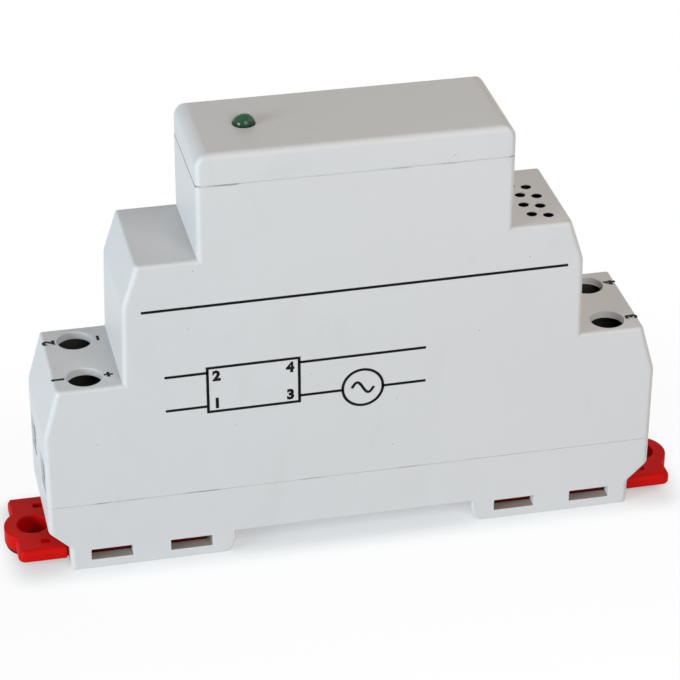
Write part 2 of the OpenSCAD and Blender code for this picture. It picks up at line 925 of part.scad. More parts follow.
module lamp_leads() {
    z0 = tongue_z1 - lamp_lead_root;
    color(steel_colour)
        for (s = [-1, 1])
            translate([-lamp_x + s * lamp_lead_x, -board_half - lamp_lead_d / 2, z0])
                cylinder(d = lamp_lead_d, h = lamp_z - z0, $fn = 24);
}

main_housing();
top_cap();
rail_base();
rail_clip_left();
rail_clip_right();
screw_in_front();
screw_in_back();
screw_out_front();
screw_out_back();
cage_in_front();
cage_in_back();
cage_out_front();
cage_out_back();
tab_in_front();
tab_in_back();
tab_out_front();
tab_out_back();
circuit_board();
heat_sink();
power_triac();
thermal_pad();
triac_screw();
optocoupler();
varistor();
snubber_capacitor();
resistors();
input_diode();
status_lamp();
lamp_leads();
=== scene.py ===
"""Looks of a slim control relay for a 35 mm mounting rail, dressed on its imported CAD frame.

Lengths are in millimetres until a mesh is made, and a finished mesh is in metres. X runs along
the housing from the input end to the output end, the printed front faces -Y and +Z is up.
"""

import logging
import math
from dataclasses import dataclass
from enum import Enum
from typing import Any, Callable, Mapping, Sequence, Union

import bmesh
import bpy
from mathutils import Matrix, Vector


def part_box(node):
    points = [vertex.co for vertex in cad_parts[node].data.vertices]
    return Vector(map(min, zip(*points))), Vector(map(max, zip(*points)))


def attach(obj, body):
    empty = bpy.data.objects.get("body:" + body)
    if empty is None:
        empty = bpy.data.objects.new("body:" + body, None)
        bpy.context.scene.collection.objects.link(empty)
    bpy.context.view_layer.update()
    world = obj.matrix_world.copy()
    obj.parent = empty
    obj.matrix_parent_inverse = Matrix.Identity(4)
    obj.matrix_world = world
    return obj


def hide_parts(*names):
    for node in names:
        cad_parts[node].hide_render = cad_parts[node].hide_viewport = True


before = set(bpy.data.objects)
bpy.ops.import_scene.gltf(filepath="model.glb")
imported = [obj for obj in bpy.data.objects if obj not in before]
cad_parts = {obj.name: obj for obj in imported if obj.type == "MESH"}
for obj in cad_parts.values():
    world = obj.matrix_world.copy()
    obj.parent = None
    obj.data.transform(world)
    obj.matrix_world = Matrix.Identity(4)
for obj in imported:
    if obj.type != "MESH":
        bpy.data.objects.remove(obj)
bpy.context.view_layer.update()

LOG = logging.getLogger("relay")
IMAGE_SIDE = 680  # pixels along a side of the picture
MM = 0.001  # metres in a millimetre
ARC_STEPS = 8  # chords in a rounded corner
RIM_STEPS = 4  # chords across a fine edge or a gentle bend
OVERRUN = 1.0  # how far a cutter runs out past a face
SINK = 0.05  # overlap of forms that are joined, and slack of tests on faces
WELD = 0.0005  # points nearer than this become one
LEAST_CORNER = 0.35  # share of an upright edge's radius that a rounded crown leaves
SAME_FLAT = 0.999999  # cosine of the turn between faces of one flat
CREASE = 33.0  # largest turn in degrees that is shaded smooth
HOLE_SIDES = 40  # of a well or a vent
HEAD_SIDES = 64  # of a screw's head
CORE_SIDES = 40  # of a screw's core
HELIX_STEPS = 24  # chords in a turn of a thread
RIDGE_SIDES = 4  # of a thread's section
RUN_OUT = 1.5  # turns that a thread is shorter than its core
WAVE_STEPS = 32  # chords in a printed wave
GLYPH_STEPS = 6  # chords in a curve of a printed number
GLYPH_WEIGHT = 0.085  # extra weight of a printed stroke, as a share of its height
CAPITAL = 0.69  # height of a capital, as a share of the font's size

Pair = tuple[float, float]
Trio = tuple[float, float, float]
Colour = Trio
Value = Union["Wire", list["Wire"], float, Sequence[float]]
Mesh = bpy.types.Mesh
Piece = bpy.types.Object


def srgb(red: int, green: int, blue: int) -> Colour:
    """The linear colour that shaders take, from an 8-bit display colour."""
    shares = (channel / 255 for channel in (red, green, blue))
    return tuple(s / 12.92 if s <= 0.04045 else ((s + 0.055) / 1.055) ** 2.4 for s in shares)


class Wire:
    """An output socket of a node, with arithmetic that adds Math nodes to its tree."""

    def __init__(self, graph: "Graph", socket: bpy.types.NodeSocket) -> None:
        """Holds the socket and the graph that it belongs to."""
        self.graph = graph
        self.socket = socket

    def other(self, name: str) -> "Wire":
        """Another output of the same node, by name."""
        return Wire(self.graph, self.socket.node.outputs[name])

    def math(self, operation: str, *others: Value) -> "Wire":
        """A Math node on this and then on other values."""
        return self.graph.maths(operation, self, *others)

    def __add__(self, value: Value) -> "Wire":
        """This plus a value."""
        return self.graph.maths("ADD", self, value)

    def __radd__(self, value: Value) -> "Wire":
        """A value plus this."""
        return self.graph.maths("ADD", value, self)

    def __sub__(self, value: Value) -> "Wire":
        """This less a value."""
        return self.graph.maths("SUBTRACT", self, value)

    def __rsub__(self, value: Value) -> "Wire":
        """A value less this."""
        return self.graph.maths("SUBTRACT", value, self)

    def __mul__(self, value: Value) -> "Wire":
        """This times a value."""
        return self.graph.maths("MULTIPLY", self, value)

    def __rmul__(self, value: Value) -> "Wire":
        """A value times this."""
        return self.graph.maths("MULTIPLY", value, self)

    def __truediv__(self, value: Value) -> "Wire":
        """This over a value."""
        return self.graph.maths("DIVIDE", self, value)

    def __rtruediv__(self, value: Value) -> "Wire":
        """A value over this."""
        return self.graph.maths("DIVIDE", value, self)

    def __mod__(self, value: Value) -> "Wire":
        """What is left of this after whole steps of a value."""
        return self.graph.maths("FLOORED_MODULO", self, value)

    def __rmod__(self, value: Value) -> "Wire":
        """What is left of a value after whole steps of this."""
        return self.graph.maths("FLOORED_MODULO", value, self)

    def over(self, limit: Value) -> "Wire":
        """1 where this is over the limit, and 0 elsewhere."""
        return self.math("GREATER_THAN", limit)

    def under(self, limit: Value) -> "Wire":
        """1 where this is under the limit, and 0 elsewhere."""
        return self.math("LESS_THAN", limit)

    def held(self, low: float, high: float) -> "Wire":
        """This, kept between two limits."""
        return self.graph.node("ShaderNodeClamp", None, {"Value": self, "Min": low, "Max": high})

    def ramp(self, low: float, high: float) -> "Wire":
        """Rises smoothly from 0 to 1 as this goes from low to high, and stays there outside."""
        span = {"Value": self, "From Min": low, "From Max": high}
        return self.graph.node("ShaderNodeMapRange", {"interpolation_type": "SMOOTHSTEP"}, span)


class Graph:
    """A node tree that is written as expressions."""

    def __init__(self, tree: bpy.types.NodeTree) -> None:
        """Holds the tree that nodes are added to."""
        self.tree = tree

    @classmethod
    def fresh(cls, owner: bpy.types.Material | bpy.types.World) -> "Graph":
        """Empties the node tree of a material or a world.

        Args:
            owner: What the tree belongs to.

        Returns:
            The empty tree's graph.
        """
        owner.use_nodes = True
        owner.node_tree.nodes.clear()
        return cls(owner.node_tree)

    def node(
        self,
        kind: str,
        settings: Mapping[str, Any] | None = None,
        inputs: Mapping[str | int, Value] | None = None,
        output: str | int = 0,
    ) -> Wire:
        """Adds one node.

        Args:
            kind: The node's type.
            settings: Its properties, set before its sockets.
            inputs: Values or wires by socket name or number.
            output: The output that is returned.

        Returns:
            The chosen output, or a wire on the first input of a node that has no outputs.
        """
        made = self.tree.nodes.new(kind)
        for name, setting in (settings or {}).items():
            setattr(made, name, setting)
        for name, value in (inputs or {}).items():
            self._feed(made.inputs[name], value)
        return Wire(self, made.outputs[output] if made.outputs else made.inputs[0])

    def maths(self, operation: str, *values: Value) -> Wire:
        """A Math node on the given values, in order."""
        return self.node("ShaderNodeMath", {"operation": operation}, dict(enumerate(values)))

    def mix(self, share: Value, first: Value, second: Value) -> Wire:
        """A colour that goes from the first to the second with a share from 0 to 1."""
        return self.node("ShaderNodeMix", {"data_type": "RGBA"}, {0: share, 6: first, 7: second}, 2)

    def noise(self, place: Wire, size: float, detail: float = 2.0, turn: float = 0.0) -> Wire:
        """Noise whose features are about the given size in millimetres."""
        inputs = {"Vector": place, "Scale": 1 / (size * MM), "Detail": detail, "Distortion": turn}
        return self.node("ShaderNodeTexNoise", None, inputs, "Fac")

    def cells(self, place: Wire, size: float, feature: str = "F1") -> Wire:
        """Distances in a net of cells that are about the given size in millimetres."""
        inputs = {"Vector": place, "Scale": 1 / (size * MM)}
        return self.node("ShaderNodeTexVoronoi", {"feature": feature}, inputs, "Distance")

    def relief(self, height: Wire, depth: float, strength: float) -> Wire:
        """The normal of a surface with a relief of the given depth in millimetres."""
        inputs = {"Strength": strength, "Distance": depth * MM, "Height": height}
        return self.node("ShaderNodeBump", None, inputs, "Normal")

    def stretched(self, place: Wire, factors: Trio) -> Wire:
        """The place scaled by a factor along each axis, to draw a pattern out."""
        return self.node("ShaderNodeMapping", None, {"Vector": place, "Scale": factors})

    def split(self, place: Wire, axis: str = "X") -> Wire:
        """A place's measure along one axis, whose other outputs are the other two."""
        return self.node("ShaderNodeSeparateXYZ", None, {0: place}, axis)

    def joined(self, x: Value, y: Value, z: Value = 0.0) -> Wire:
        """The place with the given measures along the three axes."""
        return self.node("ShaderNodeCombineXYZ", None, {0: x, 1: y, 2: z})

    def _feed(self, socket: bpy.types.NodeSocket, value: Value) -> None:
        """Links wires to a socket, or sets the socket's own value.

        Args:
            socket: The input.
            value: A wire, a list of wires for a socket that takes several, or a plain value.
        """
        if isinstance(value, Wire):
            self.tree.links.new(value.socket, socket)
        elif isinstance(value, list):
            for wire in value:
                self.tree.links.new(wire.socket, socket)
        elif socket.type == "RGBA":
            socket.default_value = (*value[:3], 1.0)
        else:
            socket.default_value = value


@dataclass(frozen=True)
class Finish:
    """A surface finish that is made into a material the first time it is used."""

    name: str
    colour: Colour

    def material(self) -> bpy.types.Material:
        """Makes the finish's material, or finds it.

        Returns:
            The one material of this finish.
        """
        found = bpy.data.materials.get(self.name)
        if found:
            return found
        made = bpy.data.materials.new(self.name)
        graph = Graph.fresh(made)
        place = graph.node("ShaderNodeTexCoord", output="Object")
        surface = graph.node("ShaderNodeBsdfPrincipled", None, self.sockets(graph, place))
        graph.node("ShaderNodeOutputMaterial", None, {"Surface": surface})
        return made

    def sockets(self, graph: Graph, place: Wire) -> dict[str, Value]:
        """Adds the nodes of the finish's own pattern.

        Args:
            graph: The material's tree.
            place: Object coordinates in metres.

        Returns:
            The surface's sockets by name.
        """
        raise NotImplementedError

    def toned(self, graph: Graph, share: Wire, levels: Pair) -> Wire:
        """The finish's colour, from one level of brightness to another by a share."""
        dark, pale = (tuple(channel * level for channel in self.colour) for level in levels)
        return graph.mix(share, dark, pale)


@dataclass(frozen=True)
class Moulding(Finish):
    """Satin moulded plastic with a fine spark-eroded grain, handling smudges, a few specks, and
    dirt and painted shade along its seams.
    """

    roughness: float = 0.46
    gloss: float = 0.4
    index: float = 1.48
    tone: Pair = (0.975, 1.015)
    drift_size: float = 22.0
    grain_size: float = 0.22
    grain_depth: float = 0.006
    grain_strength: float = 0.6
    swell_size: float = 9.0
    swell_rise: float = 3.0
    uneven: Trio = (0.06, 0.05, 0.05)
    speck: Colour = (0.2, 0.19, 0.17)
    speck_pitch: float = 4.4
    speck_edge: Pair = (0.02, 0.04)
    speck_depth: float = 0.4
    smudge: float = 0.05
    smudge_size: float = 7.0
    smudge_turn: float = 1.2
    smudge_edge: Pair = (0.56, 0.78)
    smudge_draw: Trio = (1.0, 1.0, 0.45)
    seams: tuple[float, ...] = ()
    seam_reach: Pair = (0.05, 0.16)
    seam_dirt_and_shade_depth: float = 0.6
    dirt_size: float = 5.0
    dirt_edge: Pair = (0.5, 0.66)
    painted_shade_end: Pair = (-22.3, 40.0)
    clean_x: Pair = (-34.0, 30.0)
    clean_share: float = 0.7

    def sockets(self, graph: Graph, place: Wire) -> dict[str, Value]:
        """Adds tone drift, smudges, seam dirt with painted shade, specks and grain under a satin
        surface.

        Args:
            graph: The material's tree.
            place: Object coordinates in metres.

        Returns:
            The surface's sockets by name.
        """
        drift = graph.noise(place, self.drift_size, detail=3.0)
        drawn = graph.stretched(place, self.smudge_draw)
        streaks = graph.noise(drawn, self.smudge_size, detail=5.0, turn=self.smudge_turn)
        smudge = streaks.ramp(*self.smudge_edge)
        specks = 1 - graph.cells(place, self.speck_pitch).ramp(*self.speck_edge)
        tone = self.toned(graph, drift, self.tone)
        worn_and_shaded = graph.mix(smudge * self.smudge, tone, self.speck)
        # Along the seams the colour darkens towards the speck colour: patches of dirt, and painted
        # shade in the cap's seam on the nose's left end.
        if self.seams:
            worn_and_shaded = graph.mix(self._seam_dirt_and_shade(graph, place), worn_and_shaded, self.speck)
        grain = graph.noise(place, self.grain_size)
        relief = grain + graph.noise(place, self.swell_size, detail=1.0) * self.swell_rise
        by_drift, by_grain, by_smudge = self.uneven
        return {
            "Base Color": graph.mix(specks * self.speck_depth, worn_and_shaded, self.speck),
            "Roughness": self.roughness + drift * by_drift + grain * by_grain - smudge * by_smudge,
            "IOR": self.index,
            "Specular IOR Level": self.gloss,
            "Normal": graph.relief(relief, self.grain_depth, self.grain_strength),
        }

    def _seam_dirt_and_shade(self, graph: Graph, place: Wire) -> Wire:
        """Gathers dirt in patches along the seams, most of it at the left, and paints shade into
        the whole seam groove on the nose's left end.

        Args:
            graph: The material's tree.
            place: Object coordinates in metres.

        Returns:
            The share of dirt and painted shade from 0 to 1.
        """
        metres = graph.split(place)
        along, height = metres / MM, metres.other("Z") / MM
        gaps = [(height - level).math("ABSOLUTE") for level in self.seams]
        near = 1 - gaps[0].math("MINIMUM", *gaps[1:]).ramp(*self.seam_reach)
        patches = graph.noise(place, self.dirt_size, detail=4.0).ramp(*self.dirt_edge)
        # Painted shade: the cap's seam groove on the nose's left end is darkened all along.
        painted_shade_cap_end = along.under(self.painted_shade_end[0]) * height.over(self.painted_shade_end[1])
        left = 1 - along.ramp(*self.clean_x) * self.clean_share
        return near * (patches * left).math("MAXIMUM", painted_shade_cap_end) * self.seam_dirt_and_shade_depth


@dataclass(frozen=True)
class Ink(Finish):
    """Pad-printed ink, thin enough to let the plastic's grain through."""

    roughness: float = 0.52
    gloss: float = 0.12
    index: float = 1.45
    tone: Pair = (0.7, 1.6)
    patch_size: float = 0.35
    uneven: float = 0.16

    def sockets(self, graph: Graph, place: Wire) -> dict[str, Value]:
        """Adds a slightly patchy matt coat.

        Args:
            graph: The material's tree.
            place: Object coordinates in metres.

        Returns:
            The surface's sockets by name.
        """
        patch = graph.noise(place, self.patch_size, detail=3.0)
        return {
            "Base Color": self.toned(graph, patch, self.tone),
            "Roughness": self.roughness + patch * self.uneven,
            "IOR": self.index,
            "Specular IOR Level": self.gloss,
        }


@dataclass(frozen=True)
class Metal(Finish):
    """Plated or bare metal with a drawn grain along one axis."""

    roughness: float
    draw: Trio
    tone: Pair = (0.86, 1.08)
    streak_size: float = 0.3
    streak_depth: float = 0.003
    streak_strength: float = 0.4
    cloud_size: float = 2.5
    uneven: Pair = (0.12, 0.06)

    def sockets(self, graph: Graph, place: Wire) -> dict[str, Value]:
        """Adds drawn streaks and a cloudy plating.

        Args:
            graph: The material's tree.
            place: Object coordinates in metres.

        Returns:
            The surface's sockets by name.
        """
        streak = graph.noise(graph.stretched(place, self.draw), self.streak_size, detail=3.0)
        cloud = graph.noise(place, self.cloud_size)
        by_streak, by_cloud = self.uneven
        return {
            "Base Color": self.toned(graph, cloud, self.tone),
            "Metallic": 1.0,
            "Roughness": self.roughness + streak * by_streak + cloud * by_cloud,
            "Normal": graph.relief(streak, self.streak_depth, self.streak_strength),
        }


@dataclass(frozen=True)
class Lens(Finish):
    """Tinted clear dome of a lamp that isn't lit, with painted light towards its top."""

    lit_top_colour: Colour
    roughness: float = 0.08
    gloss: float = 0.3
    index: float = 1.52
    painted_light_z: Pair = (64.8, 66.4)
    light_and_swirl_shares: Pair = (0.5, 0.25)
    swirl_size: float = 0.9
    uneven: float = 0.06

    def sockets(self, graph: Graph, place: Wire) -> dict[str, Value]:
        """Adds a deep tint that pales towards the top as painted light, with a random swirl, under
        a clear gloss.

        Args:
            graph: The material's tree.
            place: Object coordinates in metres.

        Returns:
            The surface's sockets by name.
        """
        swirl = graph.noise(place, self.swirl_size)
        # Painted light: the colour pales with height towards the lit top colour.
        rise = (graph.split(place, "Z") / MM).ramp(*self.painted_light_z)
        pale = rise * self.light_and_swirl_shares[0] + swirl * self.light_and_swirl_shares[1]
        return {
            "Base Color": graph.mix(pale, self.colour, self.lit_top_colour),
            "Roughness": self.roughness + swirl * self.uneven,
            "IOR": self.index,
            "Specular IOR Level": self.gloss,
        }


@dataclass(frozen=True)
class Resist(Finish):
    """Circuit board under solder resist, with copper tracks showing through as paler bands."""

    roughness: float = 0.28
    tone: Pair = (0.85, 1.15)
    track: Colour = (0.02, 0.08, 0.04)
    track_pitch: float = 3.2
    track_edge: Pair = (0.08, 0.12)
    track_depth: float = 0.03
    track_strength: float = 0.5
    weave_size: float = 0.4
    uneven: float = 0.1

    def sockets(self, graph: Graph, place: Wire) -> dict[str, Value]:
        """Adds a net of tracks with a low relief.

        Args:
            graph: The material's tree.
            place: Object coordinates in metres.

        Returns:
            The surface's sockets by name.
        """
        edge = graph.cells(place, self.track_pitch, "DISTANCE_TO_EDGE")
        tracks = 1 - edge.ramp(*self.track_edge)
        weave = graph.noise(place, self.weave_size)
        return {
            "Base Color": graph.mix(tracks, self.toned(graph, weave, self.tone), self.track),
            "Roughness": self.roughness + weave * self.uneven,
            "Normal": graph.relief(tracks, self.track_depth, self.track_strength),
        }


@dataclass(frozen=True)
class Coating(Finish):
    """Dipped, cast or lacquered coat of a small electrical part, with bands where it has them."""

    roughness: float
    ripple: float
    band: Colour | None = None
    band_pitch: float = 1.5
    band_share: float = 0.35
    tone: Pair = (0.88, 1.1)
    lump_size: float = 0.8
    lump_strength: float = 0.5
    uneven: float = 0.1

    def sockets(self, graph: Graph, place: Wire) -> dict[str, Value]:
        """Adds a lumpy coat and, where the part has them, painted bands along X.

        Args:
            graph: The material's tree.
            place: Object coordinates in metres.

        Returns:
            The surface's sockets by name.
        """
        lump = graph.noise(place, self.lump_size, detail=3.0)
        colour = self.toned(graph, lump, self.tone)
        if self.band:
            along = graph.split(place) / (self.band_pitch * MM)
            colour = graph.mix((along % 1.0).under(self.band_share), colour, self.band)
        return {
            "Base Color": colour,
            "Roughness": self.roughness + lump * self.uneven,
            "Normal": graph.relief(lump, self.ripple, self.lump_strength),
        }


WHITE_SHELL = Moulding("white_shell", srgb(212, 211, 212), seams=(11.0, 60.0))
# A darker, brownish copy of the white shell, as painted shade on the window sills and the channel
# walls.
PAINTED_SHADE_SHELL = Moulding("shaded_shell", srgb(158, 148, 140), roughness=0.6)
RED_CLIP = Moulding(
    "red_clip", srgb(204, 14, 8), roughness=0.5, gloss=0.09, speck=srgb(120, 12, 12), smudge=0.12
)
# A darker copy of the red clip, as painted shade on the sides that the base's windows show.
PAINTED_SHADE_CLIP = Moulding(
    "dull_clip", srgb(112, 14, 20), roughness=0.6, gloss=0.1, speck=srgb(60, 10, 10), smudge=0.12
)
# Dark grey painted shade for the inside walls of the housing.
PAINTED_SHADE_INSIDE = Moulding(
    "dark_lining", srgb(46, 45, 44), roughness=0.6, speck=srgb(24, 24, 24), smudge=0.1
)
BLACK_INK = Ink("black_ink", srgb(15, 15, 17))
GREEN_LENS = Lens("green_lens", srgb(7, 46, 24), lit_top_colour=srgb(36, 100, 60))
ZINC = Metal("zinc_plate", srgb(205, 207, 210), roughness=0.3, draw=(1.0, 1.0, 0.08))
TINNED_BRASS = Metal("tinned_brass", srgb(221, 196, 142), roughness=0.28, draw=(0.08, 1.0, 1.0))
MILL_ALLOY = Metal("mill_alloy", srgb(214, 216, 219), roughness=0.36, draw=(0.06, 1.0, 1.0))
GREEN_RESIST = Resist("green_resist", srgb(10, 40, 24))
CAST_EPOXY = Coating("cast_epoxy", srgb(44, 44, 47), roughness=0.45, ripple=0.006)
SOFT_PAD = Coating("soft_pad", srgb(196, 198, 204), roughness=0.6, ripple=0.02)
BLUE_DIP = Coating("blue_dip", srgb(52, 96, 168), roughness=0.2, ripple=0.03)
YELLOW_BOX = Coating("yellow_box", srgb(222, 190, 72), roughness=0.22, ripple=0.004)
BANDED_LACQUER = Coating(
    "banded_lacquer", srgb(150, 186, 206), roughness=0.25, ripple=0.01,
    band=srgb(120, 66, 30),
)
BANDED_EPOXY = Coating(
    "banded_epoxy", srgb(40, 40, 44), roughness=0.35, ripple=0.008,
    band=srgb(200, 200, 204), band_pitch=3.4,
)


class Axis(Enum):
    """The axis that an outline is drawn out along, and how its three values become X, Y and Z."""

    X = (2, 0, 1)
    Y = (0, 2, 1)
    Z = (0, 1, 2)


class Join(Enum):
    """How one form meets another."""

    ADD = "UNION"
    CUT = "DIFFERENCE"


class End(Enum):
    """An end of the relay, by its direction along X."""

    LEFT = -1
    RIGHT = 1


class Sign(Enum):
    """The sign printed beside a terminal."""

    NONE = ""
    PLUS = "+"
    MINUS = "-"


@dataclass
class Shape:
    """A closed form in millimetres, as points and as faces that number them."""

    points: list[Trio]
    faces: list[list[int]]

    def mesh(self, name: str) -> Mesh:
        """Makes a mesh in metres with its faces outwards.

        Args:
            name: The mesh's name.

        Returns:
            The new mesh.
        """
        made = bpy.data.meshes.new(name)
        made.from_pydata([Vector(point) * MM for point in self.points], [], self.faces)
        draft = bmesh.new()
        draft.from_mesh(made)
        bmesh.ops.recalc_face_normals(draft, faces=draft.faces)
        draft.to_mesh(made)
        draft.free()
        return made


Form = Union[Shape, Mesh]


def arc(
    centre: Pair, radius: float, start: float, stop: float, steps: int = ARC_STEPS
) -> list[Pair]:
    """Points along an arc between two angles in degrees, as the ends of equal chords."""
    angles = (math.radians(start + (stop - start) * i / steps) for i in range(steps + 1))
    return [(centre[0] + radius * math.cos(a), centre[1] + radius * math.sin(a)) for a in angles]


def ring(centre: Pair, radius: float, sides: int) -> list[Pair]:
    """A round outline with the given number of sides, anticlockwise."""
    return arc(centre, radius, 0, 360 - 360 / sides, sides - 1)


def section_plan(half_x: float, front: float, back: float, radii: Pair) -> list[Pair]:
    """Outline of a rectangle whose front and back corners have their own radii.

    Args:
        half_x: Half its length.
        front: Where its front side is.
        back: Where its back side is.
        radii: Radius of the front corners and of the back corners.

    Returns:
        The outline, anticlockwise.
    """
    front_r, back_r = radii
    corners = (
        (half_x - back_r, back - back_r, back_r),
        (back_r - half_x, back - back_r, back_r),
        (front_r - half_x, front + front_r, front_r),
        (half_x - front_r, front + front_r, front_r),
    )
    return [
        point
        for turn, (x, y, radius) in enumerate(corners)
        for point in arc((x, y), radius, 90 * turn, 90 * turn + 90)
    ]


def rounded_plan(
    half_a: float, half_b: float, radius: float, centre: Pair = (0.0, 0.0)
) -> list[Pair]:
    """Outline of a rectangle with rounded corners, anticlockwise about its middle."""
    plan = section_plan(half_a, -half_b, half_b, (radius, radius))
    return [(a + centre[0], b + centre[1]) for a, b in plan]


def both_ends(half: Sequence[Pair]) -> list[Pair]:
    """An outline closed by the mirror image of its right half."""
    return [*half, *((-x, z) for x, z in reversed(half))]


def moved_in(plan: Sequence[Pair], depth: float) -> list[Pair]:
    """Moves an anticlockwise outline in by a depth, or out by a negative one.

    Args:
        plan: The outline.
        depth: Distance between the old and new sides.

    Returns:
        The new outline, point for point.
    """
    count = len(plan)
    moved = []
    for i in range(count):
        here = Vector(plan[i])
        before = (here - Vector(plan[i - 1])).normalized()
        after = (Vector(plan[(i + 1) % count]) - here).normalized()
        normal_a, normal_b = Vector((-before.y, before.x)), Vector((-after.y, after.x))
        spot = here + (normal_a + normal_b) * depth / (1 + normal_a.dot(normal_b))
        moved.append((spot.x, spot.y))
    return moved


def loft(sections: Sequence[tuple[float, Sequence[Pair]]], axis: Axis = Axis.Z) -> Shape:
    """A closed form through outlines of equal length.

    Args:
        sections: (place along the axis, outline) from one end to the other.
        axis: The axis that the outlines are strung along.

    Returns:
        The form, closed by a flat face at each end.
    """
    count = len(sections[0][1])
    points = [
        tuple((a, b, place)[k] for k in axis.value) for place, plan in sections for a, b in plan
    ]
    last = count * (len(sections) - 1)
    sides = [
        [low + i, low + (i + 1) % count, low + count + (i + 1) % count, low + count + i]
        for low in range(0, last, count)
        for i in range(count)
    ]
    ends = [list(reversed(range(count))), list(range(last, last + count))]
    return Shape(points, ends + sides)


def prism(plan: Sequence[Pair], low: float, high: float, axis: Axis = Axis.Z) -> Shape:
    """A plain bar of one outline between two places along an axis."""
    return loft([(low, plan), (high, plan)], axis)


def quarter_round(radius: float) -> list[Pair]:
    """Points of a rounded edge, as distances from its two faces, from the first to the second."""
    turns = [math.radians(90 * i / RIM_STEPS) for i in range(RIM_STEPS + 1)]
    return [(radius * (1 - math.cos(a)), radius * (1 - math.sin(a))) for a in turns]


def round_ended(
    plan_at: Callable[[float], list[Pair]],
    low: float,
    high: float,
    radii: Pair,
    axis: Axis = Axis.Z,
) -> Shape:
    """A bar whose two end edges are rounded.

    Args:
        plan_at: Gives the bar's outline, anticlockwise and moved in by a depth.
        low: Where it starts along the axis.
        high: Where it ends.
        radii: Radius of the edges at the start and at the end.
        axis: The axis that it runs along.

    Returns:
        The bar.
    """
    start = [(low + along, plan_at(depth)) for along, depth in quarter_round(radii[0])]
    stop = [(high - along, plan_at(depth)) for depth, along in quarter_round(radii[1])]
    return loft(start + stop, axis)


def soft_prism(
    plan: Sequence[Pair], low: float, high: float, soft: float, axis: Axis = Axis.Z
) -> Shape:
    """A bar of one outline whose two end edges are rounded alike."""
    return round_ended(lambda depth: moved_in(plan, depth), low, high, (soft, soft), axis)


def flared(
    plan: Sequence[Pair], low: float, high: float, rims: Pair, axis: Axis = Axis.Z
) -> Shape:
    """A cutter whose mouths open out in rounded rims where it leaves a wall.

    Args:
        plan: Outline of the hole, anticlockwise.
        low: Face of the wall at the start, along the axis.
        high: Face of the wall at the end.
        rims: Radius of the rim at the start and at the end, 0 for a plain end.
        axis: The axis that the hole runs along.

    Returns:
        The cutter, which runs out past both faces.
    """
    sections = []
    for face, rim, way in ((low, rims[0], 1), (high, rims[1], -1)):
        mouth = [(face - way * OVERRUN, moved_in(plan, -rim))]
        if rim:
            edge = quarter_round(rim)
            mouth += [(face + way * along, moved_in(plan, -depth)) for along, depth in edge]
        sections += mouth if way > 0 else reversed(mouth)
    return loft(sections, axis)


def block(low: Sequence[float], high: Sequence[float]) -> Shape:
    """A plain block between two corners."""
    plan = [(low[0], low[1]), (high[0], low[1]), (high[0], high[1]), (low[0], high[1])]
    return prism(plan, low[2], high[2])


def eased(path: Sequence[Pair], radius: float) -> list[Pair]:
    """Rounds the inner corners of an open path.

    Args:
        path: The path's points.
        radius: Radius of the arcs.

    Returns:
        The path with an arc in place of each inner corner.
    """
    smooth = [path[0]]
    for before, corner, after in zip(path, path[1:], path[2:]):
        here = Vector(corner)
        back = (Vector(before) - here).normalized()
        on = (Vector(after) - here).normalized()
        half = back.angle(on) / 2
        centre = here + (back + on).normalized() * radius / math.sin(half)
        reach = radius / math.tan(half)
        first, last = here + back * reach - centre, here + on * reach - centre
        start = math.degrees(math.atan2(first.y, first.x))
        sweep = math.degrees(math.atan2(first.cross(last), first.dot(last)))
        smooth += arc((centre.x, centre.y), radius, start, start + sweep, RIM_STEPS)
    return [*smooth, path[-1]]


def drawn_in(radius: float, past: float) -> float:
    """How far an edge of a radius is drawn in at a height past the start of its curve."""
    return radius - math.sqrt(max(radius**2 - past**2, 0.0)) if past > 0 else 0.0


def tier(
    path: Sequence[Pair], half_w: float, edges: Pair, crown: Trio, foot: float = 0.0
) -> Shape:
    """A block with rounded upright edges whose ends follow a path from the bottom up.

    Args:
        path: (half length, height) from the bottom to the top.
        half_w: Half the block's width.
        edges: Radius of the upright edges at the front and at the back.
        crown: Radius of the upper edges along the ends, along the front and along the back.
        foot: Radius of the lower edges.

    Returns:
        The block.
    """
    bottom, top = path[0][1], path[-1][1]

    def half_length(height: float) -> float:
        """Finds half the block's length.

        Args:
            height: The height that it is wanted at.

        Returns:
            The half length there.
        """
        for (x0, z0), (x1, z1) in zip(path, path[1:]):
            if z0 <= height <= z1:
                return x0 + (x1 - x0) * (height - z0) / (z1 - z0)
        return path[-1][0]

    quarter = [math.sin(math.radians(90 * i / ARC_STEPS)) for i in range(ARC_STEPS + 1)]
    heights = {z for _, z in path}
    heights |= {top - r + r * s for r in crown for s in quarter}
    heights |= {bottom + foot - foot * s for s in quarter}
    sections = []
    for z in sorted({round(z, 6) for z in heights}):
        at_foot = drawn_in(foot, (bottom + foot) - z)
        end, *sides = (drawn_in(radius, z - (top - radius)) + at_foot for radius in crown)
        radii = tuple(max(r - min(end, side), LEAST_CORNER * r) for r, side in zip(edges, sides))
        front, back = sides[0] - half_w, half_w - sides[1]
        sections.append((z, section_plan(half_length(z) - end, front, back, radii)))
    return loft(sections)


def in_scene(name: str, data: bpy.types.ID) -> bpy.types.Object:
    """Puts a new object in the scene.

    Args:
        name: The object's name.
        data: Its mesh, text, light or camera.

    Returns:
        The object, at the origin.
    """
    obj = bpy.data.objects.new(name, data)
    bpy.context.scene.collection.objects.link(obj)
    return obj


def as_mesh(form: Form, name: str) -> Mesh:
    """A form's mesh, made under a name if the form isn't one yet."""
    return form.mesh(name) if isinstance(form, Shape) else form


def evaluated_mesh(obj: bpy.types.Object) -> Mesh:
    """A plain copy of an object's mesh with its modifiers or its text worked out."""
    graph = bpy.context.evaluated_depsgraph_get()
    return bpy.data.meshes.new_from_object(obj.evaluated_get(graph))


